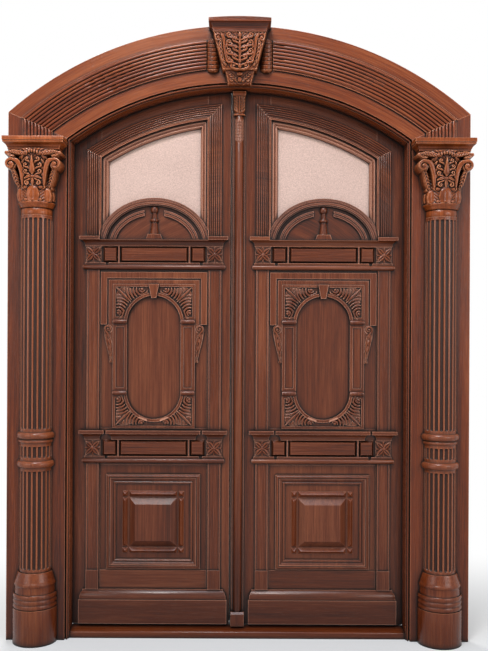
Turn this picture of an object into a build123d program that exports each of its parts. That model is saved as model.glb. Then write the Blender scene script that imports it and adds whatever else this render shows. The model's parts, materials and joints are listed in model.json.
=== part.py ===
from build123d import *
import os
from math import atan, cos, degrees, radians, sin, sqrt

# Carved double-leaf entrance door in a segmental-arched frame.
# X runs across the doorway, +Y into the room, Z up. The origin is on the underside of the
# threshold, in the middle of the doorway, in the plane of the closed leaves' front faces.
# Pieces that have a twin are drawn on the +X side and mirrored.

# Doorway and frame
frame_width = 2200.0
opening_width = 1610.0
arch_centre_drop = 744.0
soffit_radius = 1371.0
haunch_rise = 1242.0
recess = 107.0
casing_thickness = 25.0
casing_lap_step = 4.0
jamb_width = 60.0
nose_width = 17.0
nose_setback = 8.0
nose_step = 5.0
nose_step_setback = 22.0
nose_bead = 8.0
nose_chamfer = 2.5
rebate_width = 15.0
mitre_joint = 0.2

# Threshold
threshold_front_height = 32.0
threshold_back_height = 40.0
threshold_setback = 30.0
threshold_edge_rounding = 8.0

# Reeded moulding of the arch
reeding_inset = 66.0
reeding_width = 142.0
reeding_base = 9.0
reeding_edge = 6.0
reed_count = 8
reeding_stop = 159.0

# Half-columns
plinth_radius = 104.0
plinth_height = 168.0
base_bead_count = 3
base_bead_height = 23.0
base_bead_quirk = 4.0
base_band_radius = 95.0
base_band_height = 34.0
base_torus_height = 20.0
base_torus_radius = 99.0
base_height = 336.0
shaft_foot_radius = 81.0
shaft_radius = 75.0
shaft_top_height = 2014.0
flute_pitch_angle = 18.0
flute_radius = 8.5
flute_end_margin = 14.0
lower_ring_height = 827.0
lower_ring_thickness = 33.0
collar_height = 943.0
collar_thickness = 17.0
upper_ring_height = 962.0
upper_ring_thickness = 32.0
ring_radius = 89.0
collar_radius = 82.0

# Capitals
neck_radius = 73.0
neck_height = 33.0
astragal_ring_radius = 87.0
astragal_ring_height = 28.0
bell_height = 242.0
bell_waist_radius = 79.0
bell_lip_radius = 92.0
collar_leaf_count = 7
collar_leaf_height = 62.0
collar_leaf_width = 34.0
collar_leaf_stand = 9.0
volute_radius = 24.0
volute_reach = 132.0
volute_drop = 62.0
volute_thickness = 34.0
volute_stem_width = 24.0
fleuron_radius = 18.0
fleuron_stand = 16.0
tongue_leaf_height = 150.0
tongue_leaf_width = 76.0
tongue_leaf_stand = 11.0
abacus_height = 59.0
abacus_half_width = 143.0
abacus_front = 96.0
abacus_splay = 22.0
abacus_fillet = 12.0
abacus_top_fillet = 20.0

# Keystone
keystone_cap_width = 291.0
keystone_cap_projection = 110.0
keystone_cap_height = 64.0
keystone_cap_splay = 20.0
keystone_cap_fillet = 12.0
keystone_cap_top_fillet = 22.0
keystone_body_top_width = 252.0
keystone_body_foot_width = 162.0
keystone_body_height = 166.0
keystone_waist_inset = 12.0
keystone_body_projection = 84.0
keystone_foot_projection = 58.0
pendant_top_width = 139.0
pendant_foot_width = 111.0
pendant_projection = 44.0
pendant_foot_projection = 20.0
keystone_scroll_radius = 22.0
keystone_scroll_stand = 7.0
roll_radius = 31.0
roll_height = 158.0
roll_axis_offset = 127.0
roll_lobe_count = 6
roll_lobe_depth = 5.0

# Leaves
leaf_thickness = 50.0
leaf_gap = 4.0
leaf_top_gap = 3.0
leaf_floor_gap = 6.0
leaf_axis = 413.0
meeting_offset = 39.0
meeting_gap = 2.0
meeting_bevel = 2.0
lip_setback = 2.0
lip_thickness = 8.0
lip_clearance = 0.5
field_half_width = 260.0
panel_thickness = 24.0
panel_setback = 4.0
rail_overlap = 10.0
bottom_rail_height = 262.0
top_rail_width = 125.0

# Entablatures across each leaf
lower_entablature = 831.0
upper_entablature_rise = 505.0
bead_height = 24.0
bead_projection = 22.0
bead_cap_inner = 250.0
bead_cap_outer = 325.0
bead_piece_gap = 6.0
bead_fillet_height = 10.0
bead_fillet_projection = 12.0
frieze_height = 80.0
frieze_backing = 6.0
cornice_height = 46.0
cornice_foot_projection = 12.0
cornice_projection = 36.0
cornice_fillet = 8.0
cornice_top_fillet = 16.0
cornice_half_length = 324.0
cornice_cap_inner = 239.0
cornice_piece_gap = 10.0

# Frieze blocks
carved_block_inner = 258.0
carved_block_width = 75.0
carved_block_thickness = 18.0
carved_petal_stand = 7.0
small_block_inner = 178.0
small_block_width = 72.0
block_thickness = 13.0
block_bevel_angle = 40.0
middle_block_half_width = 166.0
frieze_fillet_width = 6.0
frieze_fillet_stand = 11.0

# Pilaster strips
strip_outer = 328.0
strip_width = 62.0
strip_thickness = 10.0
strip_field_depth = 4.0
strip_bead_width = 7.0
strip_foot_height = 93.0
strip_foot_thickness = 14.0

# Skirting
skirting_lift = 7.0
skirting_face_height = 115.0
skirting_cap_height = 48.0
skirting_projection = 26.0
skirting_cap_projection = 9.0
skirting_half_length = 334.0
skirting_fillet = 8.0

# Glazed lights
surround_half_width = 329.0
surround_radius = 1318.0
surround_width = 105.0
surround_reeded_width = 62.0
surround_reed_count = 6
surround_base = 10.0
surround_fillet_width = 9.0
surround_fillet_stand = 20.0
sash_front = 4.0
sash_bead_width = 14.0
glass_setback = 20.0
glass_thickness = 6.0
glass_edge_clearance = 2.0
glazing_bead_width = 26.0

# Lunette over each entablature
lunette_half_width = 274.0
lunette_rise = 227.0
lunette_lift = 123.0
lunette_clip = 262.0
lunette_board_thickness = 30.0
lunette_board_inset = 12.0
lunette_band = 38.0
lunette_steps = ((7.0, 14.0), (10.0, 9.0), (22.0, 17.0), (32.0, 21.0), (38.0, 15.0))
lunette_inner_inset = 57.0
lunette_inner_steps = ((9.0, 14.0), (14.0, 8.0), (26.0, 11.0))
lunette_break = 49.0
lunette_clearance = 1.0

# Half-baluster in the lunette
baluster_base_height = 28.0
baluster_base_half_width = 41.0
baluster_base_top_half_width = 31.0
baluster_base_thickness = 24.0
baluster_foot_radius = 23.0
baluster_waist_radius = 14.0
baluster_ring_radius = 22.0
baluster_ring_height = 16.0
baluster_ball_radius = 20.0
baluster_neck_radius = 11.0

# Arcade on the middle panel
arcade_half_width = 200.0
arcade_top_gap = 71.0
arcade_thickness = 14.0
oval_radius = 131.0
oval_top_margin = 56.0
oval_lift = 215.0
oval_ring_width = 14.0
oval_ring_stand = 5.0
spandrel_margin = 12.0
spandrel_sink = 7.0
spandrel_leaf_stand = 6.0
arcade_band_drop = 195.0
arcade_band_thickness = 24.0
arcade_band_projection = 13.0
pillar_field_margin = 14.0
pillar_field_depth = 4.0
small_keystone_height = 68.0
small_keystone_top_width = 50.0
small_keystone_foot_width = 24.0
small_keystone_stand = 14.0

# Stepped surround of the arcade and its side scrolls
step_widths = (30.0, 8.0, 21.0)
step_stands = (15.0, 7.0, 11.0)
step_leg_length = 197.0
scroll_height = 182.0
scroll_radius = 22.0
scroll_tail_width = 12.0
scroll_stand = 12.0
scroll_eye_radius = 9.0
scroll_eye_stand = 4.0

# Raised panel with its surround, rods and bosses
lower_surround_half_width = 229.0
lower_surround_foot = 314.0
lower_surround_top = 776.0
lower_surround_width = 48.0
lower_surround_stand = 17.0
lower_surround_rim = 10.0
lower_surround_bevel_width = 24.0
lower_surround_lip_stand = 8.0
raised_half_width = 117.0
raised_foot = 423.0
raised_top = 660.0
raised_stand = 22.0
raised_bevel_angle = 54.0
rod_width = 28.0
rod_stand = 15.0
rod_bevel_angle = 38.0
rod_gap = 6.0
boss_stand = 14.0
boss_bevel_angle = 40.0

# Astragal on the right leaf
astragal_half_width = 29.0
astragal_flange = 10.0
astragal_round_radius = 21.0
astragal_base_half_width = 32.0
astragal_base_height = 66.0
astragal_base_projection = 40.0
astragal_head_height = 112.0
astragal_head_half_width = 33.0
astragal_head_foot_half_width = 27.0
astragal_head_projection = 54.0
astragal_head_foot_projection = 36.0
astragal_head_cap_height = 16.0
astragal_top_clearance = 6.0

# Butt hinges
hinge_shares = (0.109, 0.394, 0.679, 0.9385)
hinge_length = 110.0
hinge_plate_width = 40.0
hinge_plate_thickness = 1.8
knuckle_radius = 7.0
knuckle_clearance = 1.0
knuckle_gap = 0.4
pin_radius = 3.5
pin_clearance = 0.06
pin_head_height = 6.0
pin_head_radius = 5.5

# Shares of the sizes that they follow
bell_belly_share = 0.45
bell_neck_share = 0.62
cove_depth_share = 0.3
leaf_tip_share = 0.55
petal_length_share = 0.36
petal_width_share = 0.13
petal_offset_share = 0.24
petal_tilts = (45.0, 135.0, 225.0, 315.0)
spandrel_leaf_tilts = (8.0, 44.0, 80.0)
spandrel_leaf_length_share = 0.40
spandrel_leaf_width_share = 0.14
spandrel_leaf_reach_share = 0.23
head_leaf_shares = (0.22, 0.5, 0.78)
waist_height_share = 0.45
baluster_cone_share = 0.58
scroll_tail_share = 0.55

# Places worked out from the sizes above
overrun = frame_width
half_opening = opening_width / 2
casing_front = -recess
nose_front = casing_front + nose_setback
nose_step_front = casing_front + nose_step_setback
wall_face = casing_front + casing_thickness
lap_front = wall_face - casing_lap_step
leaf_back = leaf_thickness
casing_inner = half_opening + nose_width
casing_outer = frame_width / 2
casing_inner_radius = soffit_radius + nose_width
rebate_face = half_opening + rebate_width
leaf_edge = rebate_face - leaf_gap
leaf_radius = soffit_radius + rebate_width - leaf_top_gap
leaf_bottom = threshold_back_height + leaf_floor_gap
column_axis = (casing_inner + casing_outer) / 2
arch_centre_height = shaft_top_height - arch_centre_drop
extrados_radius = sqrt(casing_outer**2 + haunch_rise**2)
capital_foot = shaft_top_height
bell_foot = capital_foot + neck_height + astragal_ring_height
abacus_foot = bell_foot + bell_height
abacus_top = abacus_foot + abacus_height
entablature_height = bead_height + bead_fillet_height + frieze_height + cornice_height
upper_entablature = arch_centre_height + upper_entablature_rise
lunette_centre_height = upper_entablature + lunette_lift
arcade_top = upper_entablature - arcade_top_gap
oval_top = arcade_top - oval_top_margin
oval_bottom = lower_entablature + oval_lift
small_keystone_foot = arcade_top - small_keystone_height
step_leg_foot = arcade_top - step_leg_length
scroll_foot = step_leg_foot - scroll_height
bottom_rail_top = leaf_bottom + bottom_rail_height
lower_rail_foot = lower_entablature - rail_overlap
lower_rail_top = lower_entablature + entablature_height + rail_overlap
upper_rail_foot = upper_entablature - rail_overlap
cornice_cap_top = upper_entablature + entablature_height
lunette_foot = cornice_cap_top - cornice_top_fillet
left_meeting_edge = -meeting_offset - meeting_gap / 2
right_meeting_edge = -meeting_offset + meeting_gap / 2
glass_back = glass_setback + glass_thickness
hinge_axis_x = rebate_face - leaf_gap / 2
hinge_axis_y = leaf_back + knuckle_radius + knuckle_clearance
leaf_side_height = arch_centre_height + sqrt(leaf_radius**2 - leaf_edge**2)
hinge_heights = [leaf_side_height * share for share in hinge_shares]

arch_axis = Axis((0, 0, arch_centre_height), (0, 1, 0))


def arch_height(radius, across):
    """Height of a point on an arch curve of this radius, this far from the middle."""
    return arch_centre_height + sqrt(radius**2 - across**2)


def facing(depth):
    """Sketch plane that faces the street, at this depth behind the leaves' front faces."""
    return Plane.XZ.offset(-depth)


def arch_plane(angle):
    """Sketch plane through the arch's centre line: local x is depth, local y is radius."""
    tilt = radians(angle)
    return Plane(
        origin=(0, 0, arch_centre_height), x_dir=(0, 1, 0), z_dir=(cos(tilt), 0, -sin(tilt))
    )


def turning_plane(across, depth):
    """Sketch plane for a half-round turned piece: local x is radius, local y is height."""
    return Plane(origin=(across, depth, 0), x_dir=(-1, 0, 0), z_dir=(0, 1, 0))


def mitre_plane(inner_point, outer_point):
    """Upright plane through two points of the front view, facing up."""
    run = outer_point[0] - inner_point[0]
    rise = outer_point[1] - inner_point[1]
    return Plane(origin=(inner_point[0], 0, inner_point[1]), z_dir=(-rise, 0, run))


def facing_left(plane):
    """The twin of a mitre plane on the -X side."""
    return Plane(
        origin=(-plane.origin.X, 0, plane.origin.Z), z_dir=(-plane.z_dir.X, 0, plane.z_dir.Z)
    )


def mirrored(piece):
    """The twin of a piece, on the other side of the doorway."""
    with BuildPart() as twin:
        mirror(piece, about=Plane.YZ)
    return twin.part


def write(piece, name):
    """Label one finished piece and write it as a STEP file of its own."""
    piece.label = name
    export_step(piece, f"parts/{name}.step")


def write_pair(piece, name):
    """Write a piece drawn on the +X side and its mirrored twin."""
    write(mirrored(piece), f"{name}_left")
    write(piece, f"{name}_right")


def arch_field():
    """Front-view outline of everything under the leaves' arched top edge."""
    with BuildSketch() as field:
        with Locations((0, arch_centre_height)):
            Circle(leaf_radius)
        with Locations((0, arch_centre_height / 2)):
            Rectangle(2 * leaf_radius, arch_centre_height)
    return field.sketch


def board(west, east, foot, head, back, thickness, under_arch=False):
    """Flat board between two edges and two heights, its top cut to the arch if asked."""
    with BuildPart() as plank:
        with BuildSketch(facing(back)):
            with Locations(((west + east) / 2, (foot + head) / 2)):
                Rectangle(east - west, head - foot)
            if under_arch:
                add(arch_field(), mode=Mode.INTERSECT)
        extrude(amount=thickness)
    return plank.part


def fielded(centre, size, back, stand, bevel_angle):
    """Raised block with bevelled sides, standing forward of the face that carries it."""
    with BuildPart() as block:
        with BuildSketch(facing(back)):
            with Locations(centre):
                Rectangle(*size)
        extrude(amount=stand, taper=bevel_angle)
    return block.part


def returned_moulding(centre, half_length, foot, face, steps):
    """Straight moulding whose profile also returns along both ends to the face behind it.

    steps lists (projection, height, bulge) from the foot up. A bulge other than zero makes the
    run up to that point an arc that swells, or hollows where it is negative, by that much.
    """
    reach = half_length + overrun
    with BuildPart() as moulding:
        with BuildSketch(Plane.YZ.offset(centre - reach)):
            with BuildLine():
                here = (face, foot)
                for projection, height, bulge in steps:
                    there = (face - projection, foot + height)
                    middle = ((here[0] + there[0]) / 2 - bulge, (here[1] + there[1]) / 2)
                    if bulge:
                        ThreePointArc(here, middle, there)
                    else:
                        Line(here, there)
                    here = there
                corner = (face, here[1])
                Line(here, corner)
                Line(corner, (face, foot))
            make_face()
        extrude(amount=2 * reach)
        with BuildSketch(facing(face)):
            with BuildLine():
                for side in (-1, 1):
                    here = (centre, foot)
                    for projection, height, bulge in steps:
                        there = (centre + side * (half_length + projection), foot + height)
                        middle = (
                            (here[0] + there[0]) / 2 + side * bulge,
                            (here[1] + there[1]) / 2,
                        )
                        if bulge:
                            ThreePointArc(here, middle, there)
                        else:
                            Line(here, there)
                        here = there
                    Line(here, (centre, here[1]))
            make_face()
        extrude(amount=overrun, mode=Mode.INTERSECT)
    return moulding.part


def frame_section(offset, outwards):
    """Jamb section: stepped nose with a bead, lap for the casing, back, leaf rebate and stop."""
    return [
        (offset, nose_step_front),
        (offset + outwards * nose_step, nose_step_front),
        (offset + outwards * nose_step, nose_front),
        (offset + outwards * (nose_step + nose_bead), nose_front),
        (offset + outwards * (nose_step + nose_bead), lap_front),
        (offset + outwards * jamb_width, lap_front),
        (offset + outwards * jamb_width, leaf_back),
        (offset + outwards * rebate_width, leaf_back),
        (offset + outwards * rebate_width, 0),
        (offset, 0),
    ]


def casing_section(inner, outer):
    """Casing section: a board that is rebated where it laps the jamb."""
    lap_edge = inner - nose_width + jamb_width
    return [
        (inner, casing_front),
        (outer, casing_front),
        (outer, wall_face),
        (lap_edge, wall_face),
        (lap_edge, lap_front),
        (inner, lap_front),
    ]


def reed_places(inner, width, edge, count):
    """Centres of reeds laid side by side between the edges of a reeded band."""
    pitch = (width - 2 * edge) / count
    return [inner + edge + pitch * (index + 1 / 2) for index in range(count)], pitch / 2


def flipped(points):
    """The same section with its two axes exchanged, for a turn about the arch's centre."""
    return [(depth, across) for across, depth in points]


os.makedirs("parts", exist_ok=True)

mitre_inner = (casing_inner, arch_height(casing_inner_radius, casing_inner))
mitre_outer = (casing_outer, arch_height(extrados_radius, casing_outer))
frame_mitre = mitre_plane(mitre_inner, mitre_outer)
arch_sweep = degrees(atan(casing_outer / (mitre_inner[1] - arch_centre_height)))

# Threshold, weathered towards the street
with BuildPart() as threshold:
    with BuildSketch(Plane.YZ.offset(-half_opening)):
        Polygon(
            (casing_front + threshold_setback, 0),
            (leaf_back, 0),
            (leaf_back, threshold_back_height),
            (0, threshold_back_height),
            (casing_front + threshold_setback, threshold_front_height),
        )
    extrude(amount=opening_width)
    fillet(
        threshold.edges().filter_by(Axis.X).group_by(Axis.Y)[0].sort_by(Axis.Z)[-1],
        threshold_edge_rounding,
    )
write(threshold.part, "threshold")

# Jambs, with the eased nose that shows inside the casing
with BuildPart() as jamb:
    with BuildSketch() as jamb_profile:
        Polygon(*frame_section(half_opening, 1))
        chamfer(jamb_profile.vertices().group_by(Axis.Y)[0], nose_chamfer)
    extrude(amount=mitre_outer[1])
    split(bisect_by=frame_mitre, keep=Keep.BOTTOM)
write_pair(jamb.part, "jamb")

# Arched head of the frame, with the jambs' section
with BuildPart() as frame_head:
    with BuildSketch(arch_plane(-arch_sweep)) as head_profile:
        Polygon(*flipped(frame_section(soffit_radius, 1)))
        chamfer(head_profile.vertices().group_by(Axis.X)[0], nose_chamfer)
    revolve(axis=arch_axis, revolution_arc=2 * arch_sweep)
    split(bisect_by=frame_mitre, keep=Keep.TOP)
    split(bisect_by=facing_left(frame_mitre), keep=Keep.TOP)
write(frame_head.part, "frame_head")

# Casing boards beside the doorway
with BuildPart() as casing:
    with BuildSketch():
        Polygon(*casing_section(casing_inner, casing_outer))
    extrude(amount=mitre_outer[1])
    split(bisect_by=frame_mitre, keep=Keep.BOTTOM)
write_pair(casing.part, "casing")

# Arched casing
with BuildPart() as arch_casing:
    with BuildSketch(arch_plane(-arch_sweep)):
        Polygon(*flipped(casing_section(casing_inner_radius, extrados_radius)))
    revolve(axis=arch_axis, revolution_arc=2 * arch_sweep)
    split(bisect_by=frame_mitre, keep=Keep.TOP)
    split(bisect_by=facing_left(frame_mitre), keep=Keep.TOP)
write(arch_casing.part, "arch_casing")

# Reeded moulding: two arched runs up to the keystone and two short returns above the abaci
reed_front = casing_front - reeding_base
with BuildPart() as reed_run:
    arch_inner = casing_inner_radius + reeding_inset
    centres, reed_radius = reed_places(arch_inner, reeding_width, reeding_edge, reed_count)
    with BuildSketch(arch_plane(0)):
        with Locations(*[(reed_front, centre) for centre in centres]):
            Circle(reed_radius)
        with Locations((casing_front + reeding_base / 2, arch_inner + reeding_width / 2)):
            Rectangle(2 * reeding_base, reeding_width, mode=Mode.SUBTRACT)
        with Locations(((casing_front + reed_front) / 2, arch_inner + reeding_width / 2)):
            Rectangle(reeding_base, reeding_width)
    revolve(axis=arch_axis, revolution_arc=arch_sweep)
    split(bisect_by=frame_mitre.offset(mitre_joint), keep=Keep.TOP)
    split(bisect_by=Plane.YZ.offset(reeding_stop), keep=Keep.TOP)

with BuildPart() as reed_return:
    return_inner = casing_inner + reeding_inset
    centres, reed_radius = reed_places(return_inner, reeding_width, reeding_edge, reed_count)
    with BuildSketch(Plane.XY.offset(abacus_top)):
        with Locations(*[(centre, reed_front) for centre in centres]):
            Circle(reed_radius)
        with Locations((return_inner + reeding_width / 2, casing_front + reeding_base / 2)):
            Rectangle(reeding_width, 2 * reeding_base, mode=Mode.SUBTRACT)
        with Locations((return_inner + reeding_width / 2, (casing_front + reed_front) / 2)):
            Rectangle(reeding_width, reeding_base)
    extrude(amount=mitre_outer[1] - abacus_top)
    split(bisect_by=frame_mitre, keep=Keep.BOTTOM)

with BuildPart() as arch_reeding:
    add(reed_run.part)
    add(reed_return.part)
    mirror(about=Plane.YZ)
write(arch_reeding.part, "arch_reeding")

# Keystone: waisted wedge with a swelling front, corner scrolls and a pendant below
keystone_top = arch_centre_height + extrados_radius
cap_foot = keystone_top - keystone_cap_height
body_foot = cap_foot - keystone_body_height
pendant_foot = arch_centre_height + casing_inner_radius - nose_width
with BuildPart() as keystone:
    with BuildSketch(facing(casing_front)):
        with BuildLine():
            top_half = keystone_body_top_width / 2
            foot_half = keystone_body_foot_width / 2
            waist_height = cap_foot - keystone_body_height * waist_height_share
            waist_half = (top_half + foot_half) / 2 - keystone_waist_inset
            ThreePointArc((top_half, cap_foot), (waist_half, waist_height), (foot_half, body_foot))
            Line((foot_half, body_foot), (-foot_half, body_foot))
            ThreePointArc((-foot_half, body_foot), (-waist_half, waist_height), (-top_half, cap_foot))
            Line((-top_half, cap_foot), (top_half, cap_foot))
        make_face()
        Polygon(
            (pendant_top_width / 2, body_foot),
            (-pendant_top_width / 2, body_foot),
            (-pendant_foot_width / 2, pendant_foot),
            (pendant_foot_width / 2, pendant_foot),
        )
    extrude(amount=keystone_cap_projection)
    with BuildSketch(Plane.YZ.offset(-keystone_cap_width)):
        with BuildLine():
            Line((casing_front, cap_foot), (casing_front - keystone_body_projection, cap_foot))
            Bezier(
                (casing_front - keystone_body_projection, cap_foot),
                (casing_front - keystone_body_projection, waist_height),
                (casing_front - keystone_foot_projection, waist_height),
                (casing_front - keystone_foot_projection, body_foot),
            )
            Line(
                (casing_front - keystone_foot_projection, body_foot),
                (casing_front - pendant_projection, body_foot),
            )
            Bezier(
                (casing_front - pendant_projection, body_foot),
                (casing_front - pendant_projection, pendant_foot),
                (casing_front - pendant_foot_projection, pendant_foot),
            )
            Line((casing_front - pendant_foot_projection, pendant_foot), (casing_front, pendant_foot))
            Line((casing_front, pendant_foot), (casing_front, cap_foot))
        make_face()
    extrude(amount=2 * keystone_cap_width, mode=Mode.INTERSECT)
    scroll_front = casing_front - keystone_body_projection - keystone_scroll_stand
    scroll_drop = cap_foot - keystone_scroll_radius
    with BuildSketch(facing(casing_front)):
        with Locations(
            (top_half - keystone_scroll_radius, scroll_drop),
            (keystone_scroll_radius - top_half, scroll_drop),
        ):
            Circle(keystone_scroll_radius)
    extrude(amount=casing_front - scroll_front)
write(keystone.part, "keystone")

# Moulded cap of the keystone, its top bowed with the arch
cap_half = keystone_cap_width / 2 - keystone_cap_projection
cap_neck = keystone_cap_projection - keystone_cap_splay
with BuildPart() as keystone_cap:
    add(
        returned_moulding(
            0,
            cap_half,
            cap_foot,
            casing_front,
            [
                (cap_neck, 0, 0),
                (cap_neck, keystone_cap_fillet, 0),
                (
                    keystone_cap_projection,
                    keystone_cap_height - keystone_cap_top_fillet,
                    -keystone_cap_splay * cove_depth_share,
                ),
                (keystone_cap_projection, keystone_cap_height, 0),
            ],
        )
    )
    with BuildSketch(facing(casing_front)):
        with Locations((0, arch_centre_height)):
            Circle(extrados_radius)
    extrude(amount=overrun, mode=Mode.INTERSECT)
write(keystone_cap.part, "keystone_cap")

# Scalloped leaf rolls that nestle against the keystone's sides
roll_top = cap_foot - keystone_scroll_stand
with BuildPart() as leaf_roll:
    with BuildSketch(turning_plane(roll_axis_offset, casing_front)):
        with BuildLine():
            lobe_height = roll_height / roll_lobe_count
            roll_foot = roll_top - roll_height
            here = (0, roll_foot)
            for lobe in range(roll_lobe_count):
                girth = roll_radius * sqrt(sin(radians(180 * (lobe + 1) / (roll_lobe_count + 1))))
                rim = max(girth - roll_lobe_depth, roll_lobe_depth)
                last = lobe == roll_lobe_count - 1
                there = (0 if last else rim, roll_foot + lobe_height * (lobe + 1))
                ThreePointArc(here, (girth, roll_foot + lobe_height * (lobe + 1 / 2)), there)
                here = there
            Line(here, (0, roll_foot))
        make_face()
    revolve(axis=Axis((roll_axis_offset, casing_front, 0), (0, 0, 1)), revolution_arc=180)
    add(keystone.part, mode=Mode.SUBTRACT)
with BuildPart() as keystone_leaves:
    add(leaf_roll.part)
    mirror(about=Plane.YZ)
write(keystone_leaves.part, "keystone_leaves")

# Turned column bases: drum plinth, three beads, band, torus and a sloping foot
column_line = Axis((column_axis, casing_front, 0), (0, 0, 1))
with BuildPart() as column_base:
    with BuildSketch(turning_plane(column_axis, casing_front)):
        with BuildLine():
            Line((0, 0), (plinth_radius, 0))
            Line((plinth_radius, 0), (plinth_radius, plinth_height))
            bead_seat = plinth_radius - base_bead_quirk
            Line((plinth_radius, plinth_height), (bead_seat, plinth_height))
            for bead in range(base_bead_count):
                low = plinth_height + bead * base_bead_height
                ThreePointArc(
                    (bead_seat, low),
                    (plinth_radius, low + base_bead_height / 2),
                    (bead_seat, low + base_bead_height),
                )
            band_foot = plinth_height + base_bead_count * base_bead_height
            band_top = band_foot + base_band_height
            torus_top = band_top + base_torus_height
            Line((bead_seat, band_foot), (base_band_radius, band_foot))
            Line((base_band_radius, band_foot), (base_band_radius, band_top))
            ThreePointArc(
                (base_band_radius, band_top),
                (base_torus_radius, band_top + base_torus_height / 2),
                (base_band_radius, torus_top),
            )
            Line((base_band_radius, torus_top), (shaft_foot_radius, base_height))
            Line((shaft_foot_radius, base_height), (0, base_height))
            Line((0, base_height), (0, 0))
        make_face()
    revolve(axis=column_line, revolution_arc=180)
write_pair(column_base.part, "column_base")

# Fluted half-column shafts with the two ring bands
flute_runs = (
    (base_height, lower_ring_height),
    (lower_ring_height + lower_ring_thickness, collar_height),
    (upper_ring_height + upper_ring_thickness, shaft_top_height),
)
with BuildPart() as column_shaft:
    with BuildSketch(turning_plane(column_axis, casing_front)):
        with BuildLine():
            lower_ring_top = lower_ring_height + lower_ring_thickness
            collar_top = collar_height + collar_thickness
            upper_ring_top = upper_ring_height + upper_ring_thickness
            Line((0, base_height), (shaft_radius, base_height))
            Line((shaft_radius, base_height), (shaft_radius, lower_ring_height))
            ThreePointArc(
                (shaft_radius, lower_ring_height),
                (ring_radius, lower_ring_height + lower_ring_thickness / 2),
                (shaft_radius, lower_ring_top),
            )
            Line((shaft_radius, lower_ring_top), (shaft_radius, collar_height))
            ThreePointArc(
                (shaft_radius, collar_height),
                (collar_radius, collar_height + collar_thickness / 2),
                (shaft_radius, collar_top),
            )
            Line((shaft_radius, collar_top), (shaft_radius, upper_ring_height))
            ThreePointArc(
                (shaft_radius, upper_ring_height),
                (ring_radius, upper_ring_height + upper_ring_thickness / 2),
                (shaft_radius, upper_ring_top),
            )
            Line((shaft_radius, upper_ring_top), (shaft_radius, shaft_top_height))
            Line((shaft_radius, shaft_top_height), (0, shaft_top_height))
            Line((0, shaft_top_height), (0, base_height))
        make_face()
    revolve(axis=column_line, revolution_arc=180)
    flute_count = round(180 / flute_pitch_angle)
    for run_foot, run_top in flute_runs:
        flute_foot = run_foot + flute_end_margin
        flute_top = run_top - flute_end_margin
        with BuildSketch(Plane(origin=(column_axis, casing_front, flute_foot))):
            with PolarLocations(shaft_radius, flute_count, 180 + flute_pitch_angle / 2, 180):
                Circle(flute_radius)
        extrude(amount=flute_top - flute_foot, mode=Mode.SUBTRACT)
write_pair(column_shaft.part, "column_shaft")

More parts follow.
